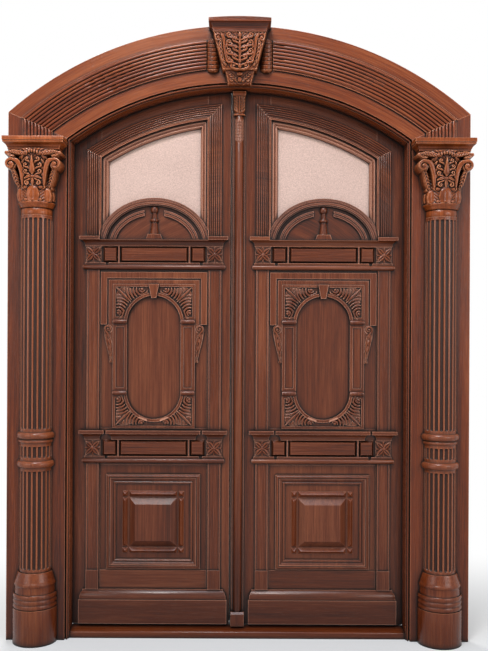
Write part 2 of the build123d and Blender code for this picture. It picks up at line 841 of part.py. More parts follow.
# Capitals: neck, ring, flaring bell, collar of leaves, corner volutes, fleuron and abacus
with BuildPart() as capital:
    ring_foot = capital_foot + neck_height
    with BuildSketch(turning_plane(column_axis, casing_front)):
        with BuildLine():
            Line((0, capital_foot), (neck_radius, capital_foot))
            Line((neck_radius, capital_foot), (neck_radius, ring_foot))
            ThreePointArc(
                (neck_radius, ring_foot),
                (astragal_ring_radius, ring_foot + astragal_ring_height / 2),
                (neck_radius, bell_foot),
            )
            bell_flare = bell_foot + bell_height * bell_neck_share
            Line((neck_radius, bell_foot), (bell_waist_radius, bell_flare))
            Line((bell_waist_radius, bell_flare), (bell_lip_radius, abacus_foot))
            Line((bell_lip_radius, abacus_foot), (0, abacus_foot))
            Line((0, abacus_foot), (0, capital_foot))
        make_face()
    revolve(axis=column_line, revolution_arc=180)
    for leaf in range(collar_leaf_count):
        turn = 180 + 180 * (leaf + 1 / 2) / collar_leaf_count
        outward = (cos(radians(turn)), sin(radians(turn)), 0)
        leaf_plane = Plane(
            origin=(column_axis, casing_front, bell_foot),
            x_dir=(-outward[1], outward[0], 0),
            z_dir=outward,
        )
        with BuildSketch(leaf_plane):
            with Locations((0, collar_leaf_height * leaf_tip_share)):
                Ellipse(collar_leaf_width / 2, collar_leaf_height * (1 - leaf_tip_share))
        extrude(amount=bell_waist_radius + collar_leaf_stand)
    for corner in (225, 315):
        outward = (cos(radians(corner)), sin(radians(corner)), 0)
        stem_plane = Plane(
            origin=(column_axis, casing_front, 0),
            x_dir=outward,
            z_dir=(outward[1], -outward[0], 0),
        )
        eye_height = abacus_foot - volute_drop
        with BuildSketch(stem_plane):
            with Locations((volute_reach, eye_height)):
                Circle(volute_radius)
            with BuildLine():
                stem_foot = bell_foot + bell_height * bell_belly_share
                stem_top = abacus_foot - (volute_drop - volute_radius) / 2
                Line((0, stem_foot), (bell_waist_radius, stem_foot))
                Bezier(
                    (bell_waist_radius, stem_foot),
                    (bell_waist_radius + volute_stem_width, stem_foot),
                    (volute_reach - volute_radius, eye_height - volute_radius),
                    (volute_reach, eye_height),
                )
                Line((volute_reach, eye_height), (volute_reach, eye_height + volute_radius))
                Bezier(
                    (volute_reach, eye_height + volute_radius),
                    (volute_reach - volute_radius, stem_top),
                    (bell_lip_radius, stem_top),
                )
                Line((bell_lip_radius, stem_top), (0, stem_top))
                Line((0, stem_top), (0, stem_foot))
            make_face()
        extrude(amount=volute_thickness / 2, both=True)
    with BuildSketch(facing(casing_front)):
        with BuildLine():
            tongue_foot = abacus_foot - tongue_leaf_height
            tongue_half = tongue_leaf_width / 2
            tongue_waist = tongue_foot + tongue_leaf_height * leaf_tip_share
            Spline(
                (column_axis, tongue_foot),
                (column_axis + tongue_half, tongue_waist),
                (column_axis, abacus_foot - abacus_fillet),
            )
            Spline(
                (column_axis, abacus_foot - abacus_fillet),
                (column_axis - tongue_half, tongue_waist),
                (column_axis, tongue_foot),
            )
        make_face()
    extrude(amount=bell_lip_radius + tongue_leaf_stand)
    with BuildSketch(facing(casing_front)):
        with Locations((column_axis, abacus_foot - fleuron_radius)):
            Circle(fleuron_radius)
    extrude(amount=bell_lip_radius + fleuron_stand)
    split(bisect_by=facing(casing_front), keep=Keep.TOP)
    add(
        returned_moulding(
            column_axis,
            abacus_half_width - abacus_front,
            abacus_foot,
            casing_front,
            [
                (abacus_front - abacus_splay, 0, 0),
                (abacus_front - abacus_splay, abacus_fillet, 0),
                (
                    abacus_front,
                    abacus_height - abacus_top_fillet,
                    -abacus_splay * cove_depth_share,
                ),
                (abacus_front, abacus_height, 0),
            ],
        )
    )
write_pair(capital.part, "capital")

# Hinge stiles: full-height boards cut to the arch
field_inner = leaf_axis - field_half_width
field_outer = leaf_axis + field_half_width
arch_crown = arch_centre_height + leaf_radius
hinge_stile = board(field_outer, leaf_edge, leaf_bottom, arch_crown, leaf_back, leaf_thickness, True)
write_pair(hinge_stile, "hinge_stile")

# Meeting stiles, their edges planed back towards the street so that either leaf swings clear,
# and on the left one a lip that closes the joint
with BuildPart() as meeting_stile_left:
    add(board(-field_inner, left_meeting_edge, leaf_bottom, arch_crown, leaf_back, leaf_thickness, True))
    with BuildSketch():
        Polygon(
            (left_meeting_edge, 0),
            (left_meeting_edge, leaf_back),
            (left_meeting_edge - meeting_bevel, 0),
        )
    extrude(amount=arch_crown, mode=Mode.SUBTRACT)
    lip_edge = right_meeting_edge - lip_clearance
    lip_back = leaf_back - lip_setback
    add(board(left_meeting_edge - meeting_bevel, lip_edge, leaf_bottom, arch_crown, lip_back, lip_thickness, True))
write(meeting_stile_left.part, "meeting_stile_left")

with BuildPart() as meeting_stile_right:
    add(board(right_meeting_edge, field_inner, leaf_bottom, arch_crown, leaf_back, leaf_thickness, True))
    with BuildSketch():
        Polygon(
            (right_meeting_edge, 0),
            (right_meeting_edge + meeting_bevel, 0),
            (right_meeting_edge, leaf_back),
        )
    extrude(amount=arch_crown, mode=Mode.SUBTRACT)
write(meeting_stile_right.part, "meeting_stile_right")

# Top rail between the stiles, arched above and below
with BuildPart() as top_rail:
    add(board(field_inner, field_outer, arch_centre_height, arch_crown, leaf_back, leaf_thickness, True))
    with BuildSketch(facing(leaf_back)):
        with Locations((0, arch_centre_height)):
            Circle(leaf_radius - top_rail_width)
    extrude(amount=leaf_thickness, mode=Mode.SUBTRACT)
write_pair(top_rail.part, "top_rail")

# Cross rails: bottom, lower and upper
with BuildPart() as cross_rails:
    for foot, head in (
        (leaf_bottom, bottom_rail_top),
        (lower_rail_foot, lower_rail_top),
        (upper_rail_foot, lunette_foot),
    ):
        add(board(field_inner, field_outer, foot, head, leaf_back, leaf_thickness))
write_pair(cross_rails.part, "cross_rails")


def lunette_outline(inset):
    """Ellipse of the lunette's mouldings, drawn in from its outer edge by this much."""
    with BuildSketch() as outline:
        with Locations((leaf_axis, lunette_centre_height)):
            Ellipse(lunette_half_width - inset, lunette_rise - inset)
    return outline.sketch


def lunette_window(half_width):
    """Front-view area above the cornice and between two uprights, where the lunette shows."""
    with BuildSketch() as window:
        with Locations((leaf_axis, lunette_foot + lunette_rise)):
            Rectangle(2 * half_width, 2 * lunette_rise)
    return window.sketch


# Glass pane, held between the surround's sash bead and the inside bead
pane_half = field_half_width - glass_edge_clearance
pane_radius = leaf_radius - top_rail_width - glass_edge_clearance
pane_hollow = lunette_board_inset - glass_edge_clearance
with BuildPart() as glass_pane:
    with BuildSketch(facing(glass_back)):
        with Locations((0, arch_centre_height)):
            Circle(pane_radius)
        with Locations((leaf_axis, lunette_foot + overrun / 2)):
            Rectangle(2 * pane_half, overrun, mode=Mode.INTERSECT)
        add(lunette_outline(pane_hollow), mode=Mode.SUBTRACT)
    extrude(amount=glass_thickness)
    glass_light = glass_pane.solids().sort_by(SortBy.VOLUME)[-1]
with BuildPart() as glass:
    add(glass_light)
write_pair(glass.part, "glass_pane")


def surround_section(outer, inwards):
    """Section of the glazing surround: reeded band, fillet, and a sash bead against the glass."""
    reeded = outer + inwards * surround_reeded_width
    fillet_edge = reeded + inwards * surround_fillet_width
    seat = outer + inwards * (surround_half_width - pane_half)
    sash = outer + inwards * (surround_width - sash_bead_width)
    inner = outer + inwards * surround_width
    return [
        (outer, 0),
        (outer, -surround_base),
        (reeded, -surround_base),
        (reeded, -surround_fillet_stand),
        (fillet_edge, -surround_fillet_stand),
        (seat, -sash_front),
        (sash, -sash_front),
        (inner, glass_setback / 2),
        (inner, glass_setback),
        (seat, glass_setback),
        (seat, 0),
    ]


def surround_leg(outer, inwards):
    """One upright of the surround, from the cornice up past its mitre."""
    pitch = surround_reeded_width / surround_reed_count
    centres = [outer + inwards * pitch * (reed + 1 / 2) for reed in range(surround_reed_count)]
    with BuildPart() as leg:
        with BuildSketch(Plane.XY.offset(cornice_cap_top)):
            Polygon(*surround_section(outer, inwards))
            with Locations(*[(centre, -surround_base) for centre in centres]):
                Circle(pitch / 2)
        extrude(amount=arch_crown - cornice_cap_top)
    return leg.part


# Glazing surround: two legs and an arched head, mitred, and the bead behind the glass
surround_west = leaf_axis - surround_half_width
surround_east = leaf_axis + surround_half_width
glass_radius = surround_radius - surround_width
mitres = []
for outer, inner in (
    (surround_west, surround_west + surround_width),
    (surround_east, surround_east - surround_width),
):
    ends = sorted(
        [(outer, arch_height(surround_radius, outer)), (inner, arch_height(glass_radius, inner))]
    )
    mitres.append(mitre_plane(*ends))
west_mitre, east_mitre = mitres

with BuildPart() as surround_head:
    reed_pitch = surround_reeded_width / surround_reed_count
    reed_levels = [surround_radius - reed_pitch * (reed + 1 / 2) for reed in range(surround_reed_count)]
    with BuildSketch(arch_plane(0)):
        Polygon(*flipped(surround_section(surround_radius, -1)))
        with Locations(*[(-surround_base, level) for level in reed_levels]):
            Circle(reed_pitch / 2)
    revolve(axis=arch_axis, revolution_arc=arch_sweep)
    split(bisect_by=west_mitre.offset(mitre_joint), keep=Keep.TOP)
    split(bisect_by=east_mitre.offset(mitre_joint), keep=Keep.TOP)

with BuildPart() as west_leg:
    add(surround_leg(surround_west, 1))
    split(bisect_by=west_mitre, keep=Keep.BOTTOM)
with BuildPart() as east_leg:
    add(surround_leg(surround_east, -1))
    split(bisect_by=east_mitre, keep=Keep.BOTTOM)

with BuildPart() as inside_bead:
    with BuildSketch(facing(leaf_back)):
        with Locations((0, arch_centre_height)):
            Circle(pane_radius)
        with Locations((leaf_axis, lunette_foot + overrun / 2)):
            Rectangle(2 * pane_half, overrun, mode=Mode.INTERSECT)
        add(lunette_outline(pane_hollow), mode=Mode.SUBTRACT)
    extrude(amount=leaf_back - glass_back)
    with BuildSketch(facing(leaf_back)):
        with Locations((0, arch_centre_height)):
            Circle(pane_radius - glazing_bead_width)
        with Locations((leaf_axis, lunette_foot + overrun / 2)):
            Rectangle(2 * (pane_half - glazing_bead_width), overrun, mode=Mode.INTERSECT)
        add(lunette_outline(pane_hollow - glazing_bead_width), mode=Mode.SUBTRACT)
    extrude(amount=leaf_back - glass_back, mode=Mode.SUBTRACT)
    bead_ring = inside_bead.solids().sort_by(SortBy.VOLUME)[-1]

with BuildPart() as glazing_surround:
    for piece in (west_leg, surround_head, east_leg):
        add(piece.part)
    with BuildSketch(facing(glass_setback)):
        add(lunette_outline(-lunette_clearance))
        add(lunette_window(lunette_clip + lunette_clearance), mode=Mode.INTERSECT)
    extrude(amount=overrun, mode=Mode.SUBTRACT)
    add(bead_ring)
write_pair(glazing_surround.part, "glazing_surround")

# Lunette: arched board, a bold outer moulding and an inner one broken for the baluster
with BuildPart() as lunette:
    with BuildSketch(facing(lunette_board_thickness)):
        add(lunette_outline(lunette_board_inset))
        add(lunette_window(field_half_width), mode=Mode.INTERSECT)
    extrude(amount=lunette_board_thickness)
    for start, steps in ((0, lunette_steps), (lunette_inner_inset, lunette_inner_steps)):
        outer = start
        for width, stand in steps:
            with BuildSketch(facing(0)):
                add(lunette_outline(outer))
                add(lunette_outline(start + width), mode=Mode.SUBTRACT)
                add(lunette_window(lunette_clip), mode=Mode.INTERSECT)
                if start == lunette_inner_inset:
                    with Locations((leaf_axis, lunette_centre_height + lunette_rise)):
                        Rectangle(2 * lunette_break, 2 * lunette_rise, mode=Mode.SUBTRACT)
            extrude(amount=stand)
            outer = start + width
write_pair(lunette.part, "lunette")

# Turned half-baluster on a sloping base block
baluster_top = lunette_centre_height + lunette_rise - lunette_band
ball_centre = baluster_top - baluster_ball_radius
base_top = lunette_foot + baluster_base_height
with BuildPart() as baluster:
    with BuildSketch(facing(0)):
        Polygon(
            (leaf_axis - baluster_base_half_width, lunette_foot),
            (leaf_axis + baluster_base_half_width, lunette_foot),
            (leaf_axis + baluster_base_top_half_width, base_top),
            (leaf_axis - baluster_base_top_half_width, base_top),
        )
    extrude(amount=baluster_base_thickness)
    with BuildSketch(turning_plane(leaf_axis, 0)):
        with BuildLine():
            neck_foot = ball_centre - sqrt(baluster_ball_radius**2 - baluster_neck_radius**2)
            cone_top = base_top + (neck_foot - base_top) * baluster_cone_share
            ring_top = cone_top + baluster_ring_height
            Line((0, base_top), (baluster_foot_radius, base_top))
            Line((baluster_foot_radius, base_top), (baluster_waist_radius, cone_top))
            ThreePointArc(
                (baluster_waist_radius, cone_top),
                (baluster_ring_radius, cone_top + baluster_ring_height / 2),
                (baluster_waist_radius, ring_top),
            )
            Line((baluster_waist_radius, ring_top), (baluster_neck_radius, neck_foot))
            ThreePointArc(
                (baluster_neck_radius, neck_foot),
                (baluster_ball_radius, ball_centre),
                (0, baluster_top),
            )
            Line((0, baluster_top), (0, base_top))
        make_face()
    revolve(axis=Axis((leaf_axis, 0, 0), (0, 0, 1)), revolution_arc=180)
write_pair(baluster.part, "baluster")

# Entablature mouldings: a bead with its fillet and a cornice, above and below
bead_steps = [
    (bead_fillet_projection, 0, 0),
    (bead_fillet_projection, bead_height, bead_projection - bead_fillet_projection),
    (bead_fillet_projection, bead_height + bead_fillet_height, 0),
]
cove_hollow = -(cornice_projection - cornice_foot_projection) * cove_depth_share
cornice_steps = [
    (cornice_foot_projection, 0, 0),
    (cornice_foot_projection, cornice_fillet, 0),
    (cornice_projection, cornice_height - cornice_top_fillet, cove_hollow),
    (cornice_projection, cornice_height, 0),
]
cap_centre = (bead_cap_inner + bead_cap_outer) / 2
cap_half_length = (bead_cap_outer - bead_cap_inner) / 2
bead_middle = bead_cap_inner - bead_projection - bead_piece_gap
cornice_cap_centre = (cornice_half_length + cornice_cap_inner + cornice_projection) / 2
cornice_cap_half = (cornice_half_length - cornice_cap_inner - cornice_projection) / 2
cornice_middle = cornice_cap_inner - cornice_projection - cornice_piece_gap
with BuildPart() as entablature_mouldings:
    for foot in (lower_entablature, upper_entablature):
        for side in (-1, 1):
            add(returned_moulding(leaf_axis + side * cap_centre, cap_half_length, foot, 0, bead_steps))
        add(
            returned_moulding(
                leaf_axis, bead_middle - bead_fillet_projection, foot, 0, bead_steps
            )
        )
    lower_cornice = lower_entablature + entablature_height - cornice_height
    for side in (-1, 1):
        centre = leaf_axis + side * cornice_cap_centre
        add(returned_moulding(centre, cornice_cap_half, lower_cornice, 0, cornice_steps))
    add(returned_moulding(leaf_axis, cornice_middle, lower_cornice, 0, cornice_steps))
    upper_cornice = upper_entablature + entablature_height - cornice_height
    add(returned_moulding(leaf_axis, cornice_half_length, upper_cornice, 0, cornice_steps))
    with BuildSketch(facing(0)):
        add(lunette_window(lunette_clip + lunette_clearance))
    extrude(amount=overrun, mode=Mode.SUBTRACT)
write_pair(entablature_mouldings.part, "entablature_mouldings")

# Frieze blocks: carved ends, three fielded blocks and the fillets between them
with BuildPart() as frieze_blocks:
    for entablature in (lower_entablature, upper_entablature):
        frieze_foot = entablature + bead_height + bead_fillet_height
        frieze_middle = frieze_foot + frieze_height / 2
        for side in (-1, 1):
            carved = leaf_axis + side * (carved_block_inner + carved_block_width / 2)
            with BuildSketch(facing(0)):
                with Locations((carved, frieze_middle)):
                    Rectangle(carved_block_width, frieze_height)
            extrude(amount=carved_block_thickness - carved_petal_stand)
            for tilt in petal_tilts:
                lift = frieze_height * petal_offset_share
                petal = (
                    carved + lift * cos(radians(tilt)),
                    frieze_middle + lift * sin(radians(tilt)),
                )
                with BuildSketch(facing(0)):
                    with Locations(petal):
                        Ellipse(
                            frieze_height * petal_length_share / 2,
                            frieze_height * petal_width_share,
                            rotation=tilt,
                        )
                extrude(amount=carved_block_thickness)
            small = leaf_axis + side * (small_block_inner + small_block_width / 2)
            size = (small_block_width, frieze_height)
            add(fielded((small, frieze_middle), size, 0, block_thickness, block_bevel_angle))
            divider = leaf_axis + side * (middle_block_half_width + small_block_inner) / 2
            size = (frieze_fillet_width, frieze_height)
            add(fielded((divider, frieze_middle), size, 0, frieze_fillet_stand, 0))
        size = (2 * middle_block_half_width, frieze_height)
        add(fielded((leaf_axis, frieze_middle), size, 0, block_thickness, block_bevel_angle))
write_pair(frieze_blocks.part, "frieze_blocks")

# Pilaster strips with a sunk field between two edge beads; the lower pair has a plain foot
skirting_foot = leaf_bottom + skirting_lift
skirting_top = skirting_foot + skirting_face_height + skirting_cap_height
strip_foot_top = skirting_top + strip_foot_height
middle_strip_foot = lower_entablature + entablature_height
with BuildPart() as pilaster_strips:
    for side in (-1, 1):
        strip_centre = leaf_axis + side * (strip_outer - strip_width / 2)
        for foot, head in (
            (strip_foot_top, lower_entablature),
            (middle_strip_foot, upper_entablature),
        ):
            with BuildSketch(Plane.XY.offset(foot)):
                with Locations((strip_centre, -strip_thickness / 2)):
                    Rectangle(strip_width, strip_thickness)
                with Locations((strip_centre, -strip_thickness)):
                    Rectangle(
                        strip_width - 2 * strip_bead_width, 2 * strip_field_depth, mode=Mode.SUBTRACT
                    )
            extrude(amount=head - foot)
        with BuildSketch(Plane.XY.offset(skirting_top)):
            with Locations((strip_centre, -strip_foot_thickness / 2)):
                Rectangle(strip_width, strip_foot_thickness)
        extrude(amount=strip_foot_height)
write_pair(pilaster_strips.part, "pilaster_strips")

# Skirting with an ovolo and fillet along its top
with BuildPart() as skirting:
    skirting_shoulder = skirting_projection - skirting_fillet / 2
    add(
        returned_moulding(
            leaf_axis,
            skirting_half_length,
            skirting_foot,
            0,
            [
                (skirting_projection, 0, 0),
                (skirting_projection, skirting_face_height, 0),
                (skirting_shoulder, skirting_face_height, 0),
                (skirting_shoulder, skirting_face_height + skirting_fillet, 0),
                (
                    skirting_cap_projection,
                    skirting_face_height + skirting_cap_height - skirting_fillet,
                    (skirting_shoulder - skirting_cap_projection) * cove_depth_share,
                ),
                (skirting_cap_projection, skirting_face_height + skirting_cap_height, 0),
            ],
        )
    )
write_pair(skirting.part, "skirting")

# Middle panel
middle_panel = board(
    field_inner,
    field_outer,
    lower_rail_top,
    upper_rail_foot,
    panel_setback + panel_thickness,
    panel_thickness,
)
write_pair(middle_panel, "middle_panel")


def oval(offset):
    """Outline of the arcade's oval opening, grown by this much."""
    straight = oval_top - oval_bottom - 2 * oval_radius
    with BuildSketch() as outline:
        with Locations((leaf_axis, (oval_top + oval_bottom) / 2)):
            SlotCenterToCenter(straight, 2 * (oval_radius + offset), rotation=90)
    return outline.sketch


# Arcade: plate with an oval opening, two banded pillars, sunk spandrels with leaves, keystone
arcade_foot = lower_rail_top
arcade_middle = (oval_top + oval_bottom) / 2
pillar_width = arcade_half_width - oval_radius
band_upper = arcade_top - arcade_band_drop
band_lower = 2 * arcade_middle - band_upper - arcade_band_thickness
spandrel_zones = (
    (band_upper + arcade_band_thickness, arcade_top),
    (arcade_foot, band_lower),
)
with BuildPart() as panel_arcade:
    with BuildSketch(facing(panel_setback)):
        with Locations((leaf_axis, (arcade_foot + arcade_top) / 2)):
            Rectangle(2 * arcade_half_width, arcade_top - arcade_foot)
        add(oval(0), mode=Mode.SUBTRACT)
    extrude(amount=arcade_thickness)
    arcade_front = panel_setback - arcade_thickness
    for foot, head in spandrel_zones:
        with BuildSketch(facing(arcade_front + spandrel_sink)):
            with Locations((leaf_axis, (foot + head) / 2)):
                Rectangle(2 * (arcade_half_width - spandrel_margin), head - foot - 2 * spandrel_margin)
            add(oval(oval_ring_width), mode=Mode.SUBTRACT)
        extrude(amount=spandrel_sink, mode=Mode.SUBTRACT)
    with BuildSketch(facing(arcade_front + pillar_field_depth)):
        for side in (-1, 1):
            pillar = leaf_axis + side * (arcade_half_width - pillar_width / 2)
            shaft_foot = band_lower + arcade_band_thickness + pillar_field_margin
            shaft_head = band_upper - pillar_field_margin
            with Locations((pillar, (shaft_foot + shaft_head) / 2)):
                Rectangle(pillar_width - 2 * pillar_field_margin, shaft_head - shaft_foot)
    extrude(amount=pillar_field_depth, mode=Mode.SUBTRACT)
    with BuildSketch(facing(panel_setback)):
        add(oval(oval_ring_width))
        add(oval(0), mode=Mode.SUBTRACT)
        with Locations((leaf_axis, arcade_middle)):
            Rectangle(overrun, band_upper - band_lower, mode=Mode.SUBTRACT)
    extrude(amount=arcade_thickness + oval_ring_stand)
    leaf_reach = arcade_half_width * spandrel_leaf_reach_share
    for (foot, head), upright in zip(spandrel_zones, (1, -1)):
        for side in (-1, 1):
            hub = (
                leaf_axis + side * (arcade_half_width - 2 * spandrel_margin),
                (head - 2 * spandrel_margin) if upright > 0 else (foot + 2 * spandrel_margin),
            )
            for tilt in spandrel_leaf_tilts:
                along = leaf_reach * cos(radians(tilt))
                down = leaf_reach * sin(radians(tilt))
                leaf_centre = (hub[0] - side * along, hub[1] - upright * down)
                with BuildSketch(facing(panel_setback)):
                    with Locations(leaf_centre):
                        Ellipse(
                            arcade_half_width * spandrel_leaf_length_share / 2,
                            arcade_half_width * spandrel_leaf_width_share / 2,
                            rotation=side * upright * tilt,
                        )
                    add(oval(oval_ring_width), mode=Mode.SUBTRACT)
                extrude(amount=arcade_thickness - spandrel_sink + spandrel_leaf_stand)
    for band in (band_upper, band_lower):
        for side in (-1, 1):
            pillar = leaf_axis + side * (arcade_half_width - pillar_width / 2)
            steps = [
                (arcade_thickness, 0, 0),
                (arcade_thickness, arcade_band_thickness, arcade_band_projection),
            ]
            half = pillar_width / 2 - arcade_thickness - arcade_band_projection
            add(returned_moulding(pillar, half, band, panel_setback, steps))
    with BuildSketch(facing(panel_setback)):
        Polygon(
            (leaf_axis - small_keystone_top_width / 2, arcade_top),
            (leaf_axis + small_keystone_top_width / 2, arcade_top),
            (leaf_axis + small_keystone_foot_width / 2, small_keystone_foot),
            (leaf_axis - small_keystone_foot_width / 2, small_keystone_foot),
        )
    extrude(amount=arcade_thickness + small_keystone_stand)
    split(bisect_by=facing(panel_setback), keep=Keep.TOP)
write_pair(panel_arcade.part, "panel_arcade")

# Stepped surround that frames the arcade's head, ending in a scroll on each side
step_total = sum(step_widths)
with BuildPart() as panel_surround:
    inset = 0
    for width, stand in zip(step_widths, step_stands):
        outer_half = arcade_half_width + step_total - inset
        outer_top = arcade_top + step_total - inset
        with BuildSketch(facing(panel_setback)):
            with Locations((leaf_axis, (outer_top + step_leg_foot) / 2)):
                Rectangle(2 * outer_half, outer_top - step_leg_foot)
            with Locations((leaf_axis, (outer_top - width + step_leg_foot) / 2)):
                Rectangle(
                    2 * (outer_half - width), outer_top - width - step_leg_foot, mode=Mode.SUBTRACT
                )
        extrude(amount=stand)
        inset += width
    for side in (-1, 1):
        scroll_middle = leaf_axis + side * (arcade_half_width + scroll_radius)
        eye = (scroll_middle, step_leg_foot - scroll_radius)
        tail_inner = leaf_axis + side * arcade_half_width
        tail_outer = leaf_axis + side * (arcade_half_width + scroll_tail_width)
        tail_turn = step_leg_foot - (step_leg_foot - scroll_foot) * scroll_tail_share
        with BuildSketch(facing(panel_setback)):
            with Locations(eye):
                Circle(scroll_radius)
            with BuildLine():
                Line((tail_inner, step_leg_foot), (tail_inner, scroll_foot))
                Line((tail_inner, scroll_foot), (tail_outer, scroll_foot))
                Bezier(
                    (tail_outer, scroll_foot),
                    (tail_outer, tail_turn),
                    (scroll_middle + side * scroll_radius, tail_turn),
                    (scroll_middle + side * scroll_radius, eye[1]),
                )
                Line((scroll_middle + side * scroll_radius, eye[1]), eye)
                Line(eye, (scroll_middle, step_leg_foot))
                Line((scroll_middle, step_leg_foot), (tail_inner, step_leg_foot))
            make_face()
        extrude(amount=scroll_stand)
        with BuildSketch(facing(panel_setback)):
            with Locations(eye):
                Circle(scroll_eye_radius)
        extrude(amount=scroll_stand + scroll_eye_stand)
write_pair(panel_surround.part, "panel_surround")

# Lower panel, raised and fielded
raised_middle = (raised_foot + raised_top) / 2
with BuildPart() as lower_panel:
    add(
        board(
            field_inner,
            field_outer,
            bottom_rail_top,
            lower_rail_foot,
            panel_setback + panel_thickness,
            panel_thickness,
        )
    )
    size = (2 * raised_half_width, raised_top - raised_foot)
    add(fielded((leaf_axis, raised_middle), size, panel_setback, raised_stand, raised_bevel_angle))
write_pair(lower_panel.part, "lower_panel")

# Mitred moulding round the lower panel: rim, slope and inner lip
surround_middle = (lower_surround_foot + lower_surround_top) / 2
with BuildPart() as lower_surround:
    with BuildSketch(facing(panel_setback)):
        with Locations((leaf_axis, surround_middle)):
            Rectangle(2 * lower_surround_half_width, lower_surround_top - lower_surround_foot)
    extrude(amount=lower_surround_stand)
    slope = lower_surround_rim + lower_surround_bevel_width
    fall = lower_surround_stand - lower_surround_lip_stand
    with BuildSketch(facing(panel_setback - lower_surround_stand)):
        with Locations((leaf_axis, surround_middle)):
            Rectangle(
                2 * (lower_surround_half_width - lower_surround_rim),
                lower_surround_top - lower_surround_foot - 2 * lower_surround_rim,
            )
    extrude(
        amount=-fall,
        taper=degrees(atan(lower_surround_bevel_width / fall)),
        mode=Mode.SUBTRACT,
    )
    with BuildSketch(facing(panel_setback)):
        with Locations((leaf_axis, surround_middle)):
            Rectangle(
                2 * (lower_surround_half_width - lower_surround_width),
                lower_surround_top - lower_surround_foot - 2 * lower_surround_width,
            )
    extrude(amount=lower_surround_stand, mode=Mode.SUBTRACT)
write_pair(lower_surround.part, "lower_surround")

# Faceted rods along the raised panel's sides and pyramid bosses at its corners
raised_half_height = (raised_top - raised_foot) / 2
rod_across = raised_half_width + rod_gap + rod_width / 2
rod_up = raised_half_height + rod_gap + rod_width / 2
with BuildPart() as panel_rods:
    for side in (-1, 1):
        upright = (leaf_axis + side * rod_across, raised_middle)
        add(
            fielded(
                upright,
                (rod_width, 2 * raised_half_height),
                panel_setback,
                rod_stand,
                rod_bevel_angle,
            )
        )
        level = (leaf_axis, raised_middle + side * rod_up)
        add(
            fielded(
                level, (2 * raised_half_width, rod_width), panel_setback, rod_stand, rod_bevel_angle
            )
        )
        for rise in (-1, 1):
            corner = (leaf_axis + side * rod_across, raised_middle + rise * rod_up)
            size = (rod_width, rod_width)
            add(fielded(corner, size, panel_setback, boss_stand, boss_bevel_angle))
write_pair(panel_rods.part, "panel_rods")

# Astragal on the right leaf: base block, half-round shaft with flanges, carved head
astragal_top = arch_centre_height + soffit_radius - astragal_top_clearance
astragal_head_foot = astragal_top - astragal_head_height
astragal_base_top = leaf_bottom + astragal_base_height
with BuildPart() as astragal_base:
    with BuildSketch(facing(0)):
        with Locations((0, leaf_bottom + astragal_base_height / 2)):
            Rectangle(2 * astragal_base_half_width, astragal_base_height)
    extrude(amount=astragal_base_projection)
    chamfer(
        astragal_base.faces().sort_by(Axis.Z)[-1].edges().sort_by(Axis.Y)[0],
        astragal_base_projection - astragal_flange - astragal_round_radius,
    )
write(astragal_base.part, "astragal_base")

with BuildPart() as astragal_shaft:
    with BuildSketch(Plane.XY.offset(astragal_base_top)):
        with Locations((0, -astragal_flange)):
            Circle(astragal_round_radius)
        with Locations((0, astragal_round_radius)):
            Rectangle(
                2 * astragal_half_width, 2 * astragal_round_radius, mode=Mode.SUBTRACT
            )
        with Locations((0, -astragal_flange / 2)):
            Rectangle(2 * astragal_half_width, astragal_flange)
    extrude(amount=astragal_head_foot - astragal_base_top)
write(astragal_shaft.part, "astragal_shaft")

with BuildPart() as astragal_head:
    head_cap_foot = astragal_top - astragal_head_cap_height
    with BuildSketch(facing(0)):
        Polygon(
            (-astragal_head_foot_half_width, astragal_head_foot),
            (astragal_head_foot_half_width, astragal_head_foot),
            (astragal_head_half_width, head_cap_foot),
            (astragal_head_half_width, astragal_top),
            (-astragal_head_half_width, astragal_top),
            (-astragal_head_half_width, head_cap_foot),
        )
    extrude(amount=astragal_head_projection)
    with BuildSketch(Plane.YZ.offset(-overrun)):
        with BuildLine():
            Line((0, astragal_head_foot), (-astragal_head_foot_projection, astragal_head_foot))
            Bezier(
                (-astragal_head_foot_projection, astragal_head_foot),
                (-astragal_head_projection, astragal_head_foot),
                (-astragal_head_foot_projection, head_cap_foot),
                (-astragal_head_projection, head_cap_foot),
            )
            Line((-astragal_head_projection, head_cap_foot), (-astragal_head_projection, astragal_top))
            Line((-astragal_head_projection, astragal_top), (0, astragal_top))
            Line((0, astragal_top), (0, astragal_head_foot))
        make_face()
    extrude(amount=2 * overrun, mode=Mode.INTERSECT)
write(astragal_head.part, "astragal_head")

# Butt hinges: plates in the gap between leaf and jamb, knuckles behind, one loose pin each
knuckle_length = hinge_length / 3


def hinge_half(face, knuckles):
    """One set of hinge plates on this face, with the knuckles in these thirds of the length."""
    inner_face = face - hinge_plate_thickness
    with BuildPart() as plates:
        for hinge in hinge_heights:
            with BuildSketch(Plane.XY.offset(hinge)):
                with Locations(((face + inner_face) / 2, leaf_back - hinge_plate_width / 2)):
                    Rectangle(hinge_plate_thickness, hinge_plate_width)
            extrude(amount=hinge_length)
            for third in knuckles:
                with BuildSketch(Plane.XY.offset(hinge + third * knuckle_length + knuckle_gap / 2)):
                    with Locations((hinge_axis_x, hinge_axis_y)):
                        Circle(knuckle_radius)
                    with Locations(((face + inner_face) / 2, (leaf_back + hinge_axis_y) / 2)):
                        Rectangle(hinge_plate_thickness, hinge_axis_y - leaf_back)
                    with Locations((hinge_axis_x, hinge_axis_y)):
                        Circle(pin_radius + pin_clearance, mode=Mode.SUBTRACT)
                extrude(amount=knuckle_length - knuckle_gap)
    return plates.part


write_pair(hinge_half(leaf_edge + hinge_plate_thickness, (1,)), "hinge_leaf_plates")
frame_plates = hinge_half(rebate_face, (0, 2))
with BuildPart() as hinge_frame_plates:
    add(frame_plates)
    mirror(about=Plane.YZ)
write(hinge_frame_plates.part, "hinge_frame_plates")

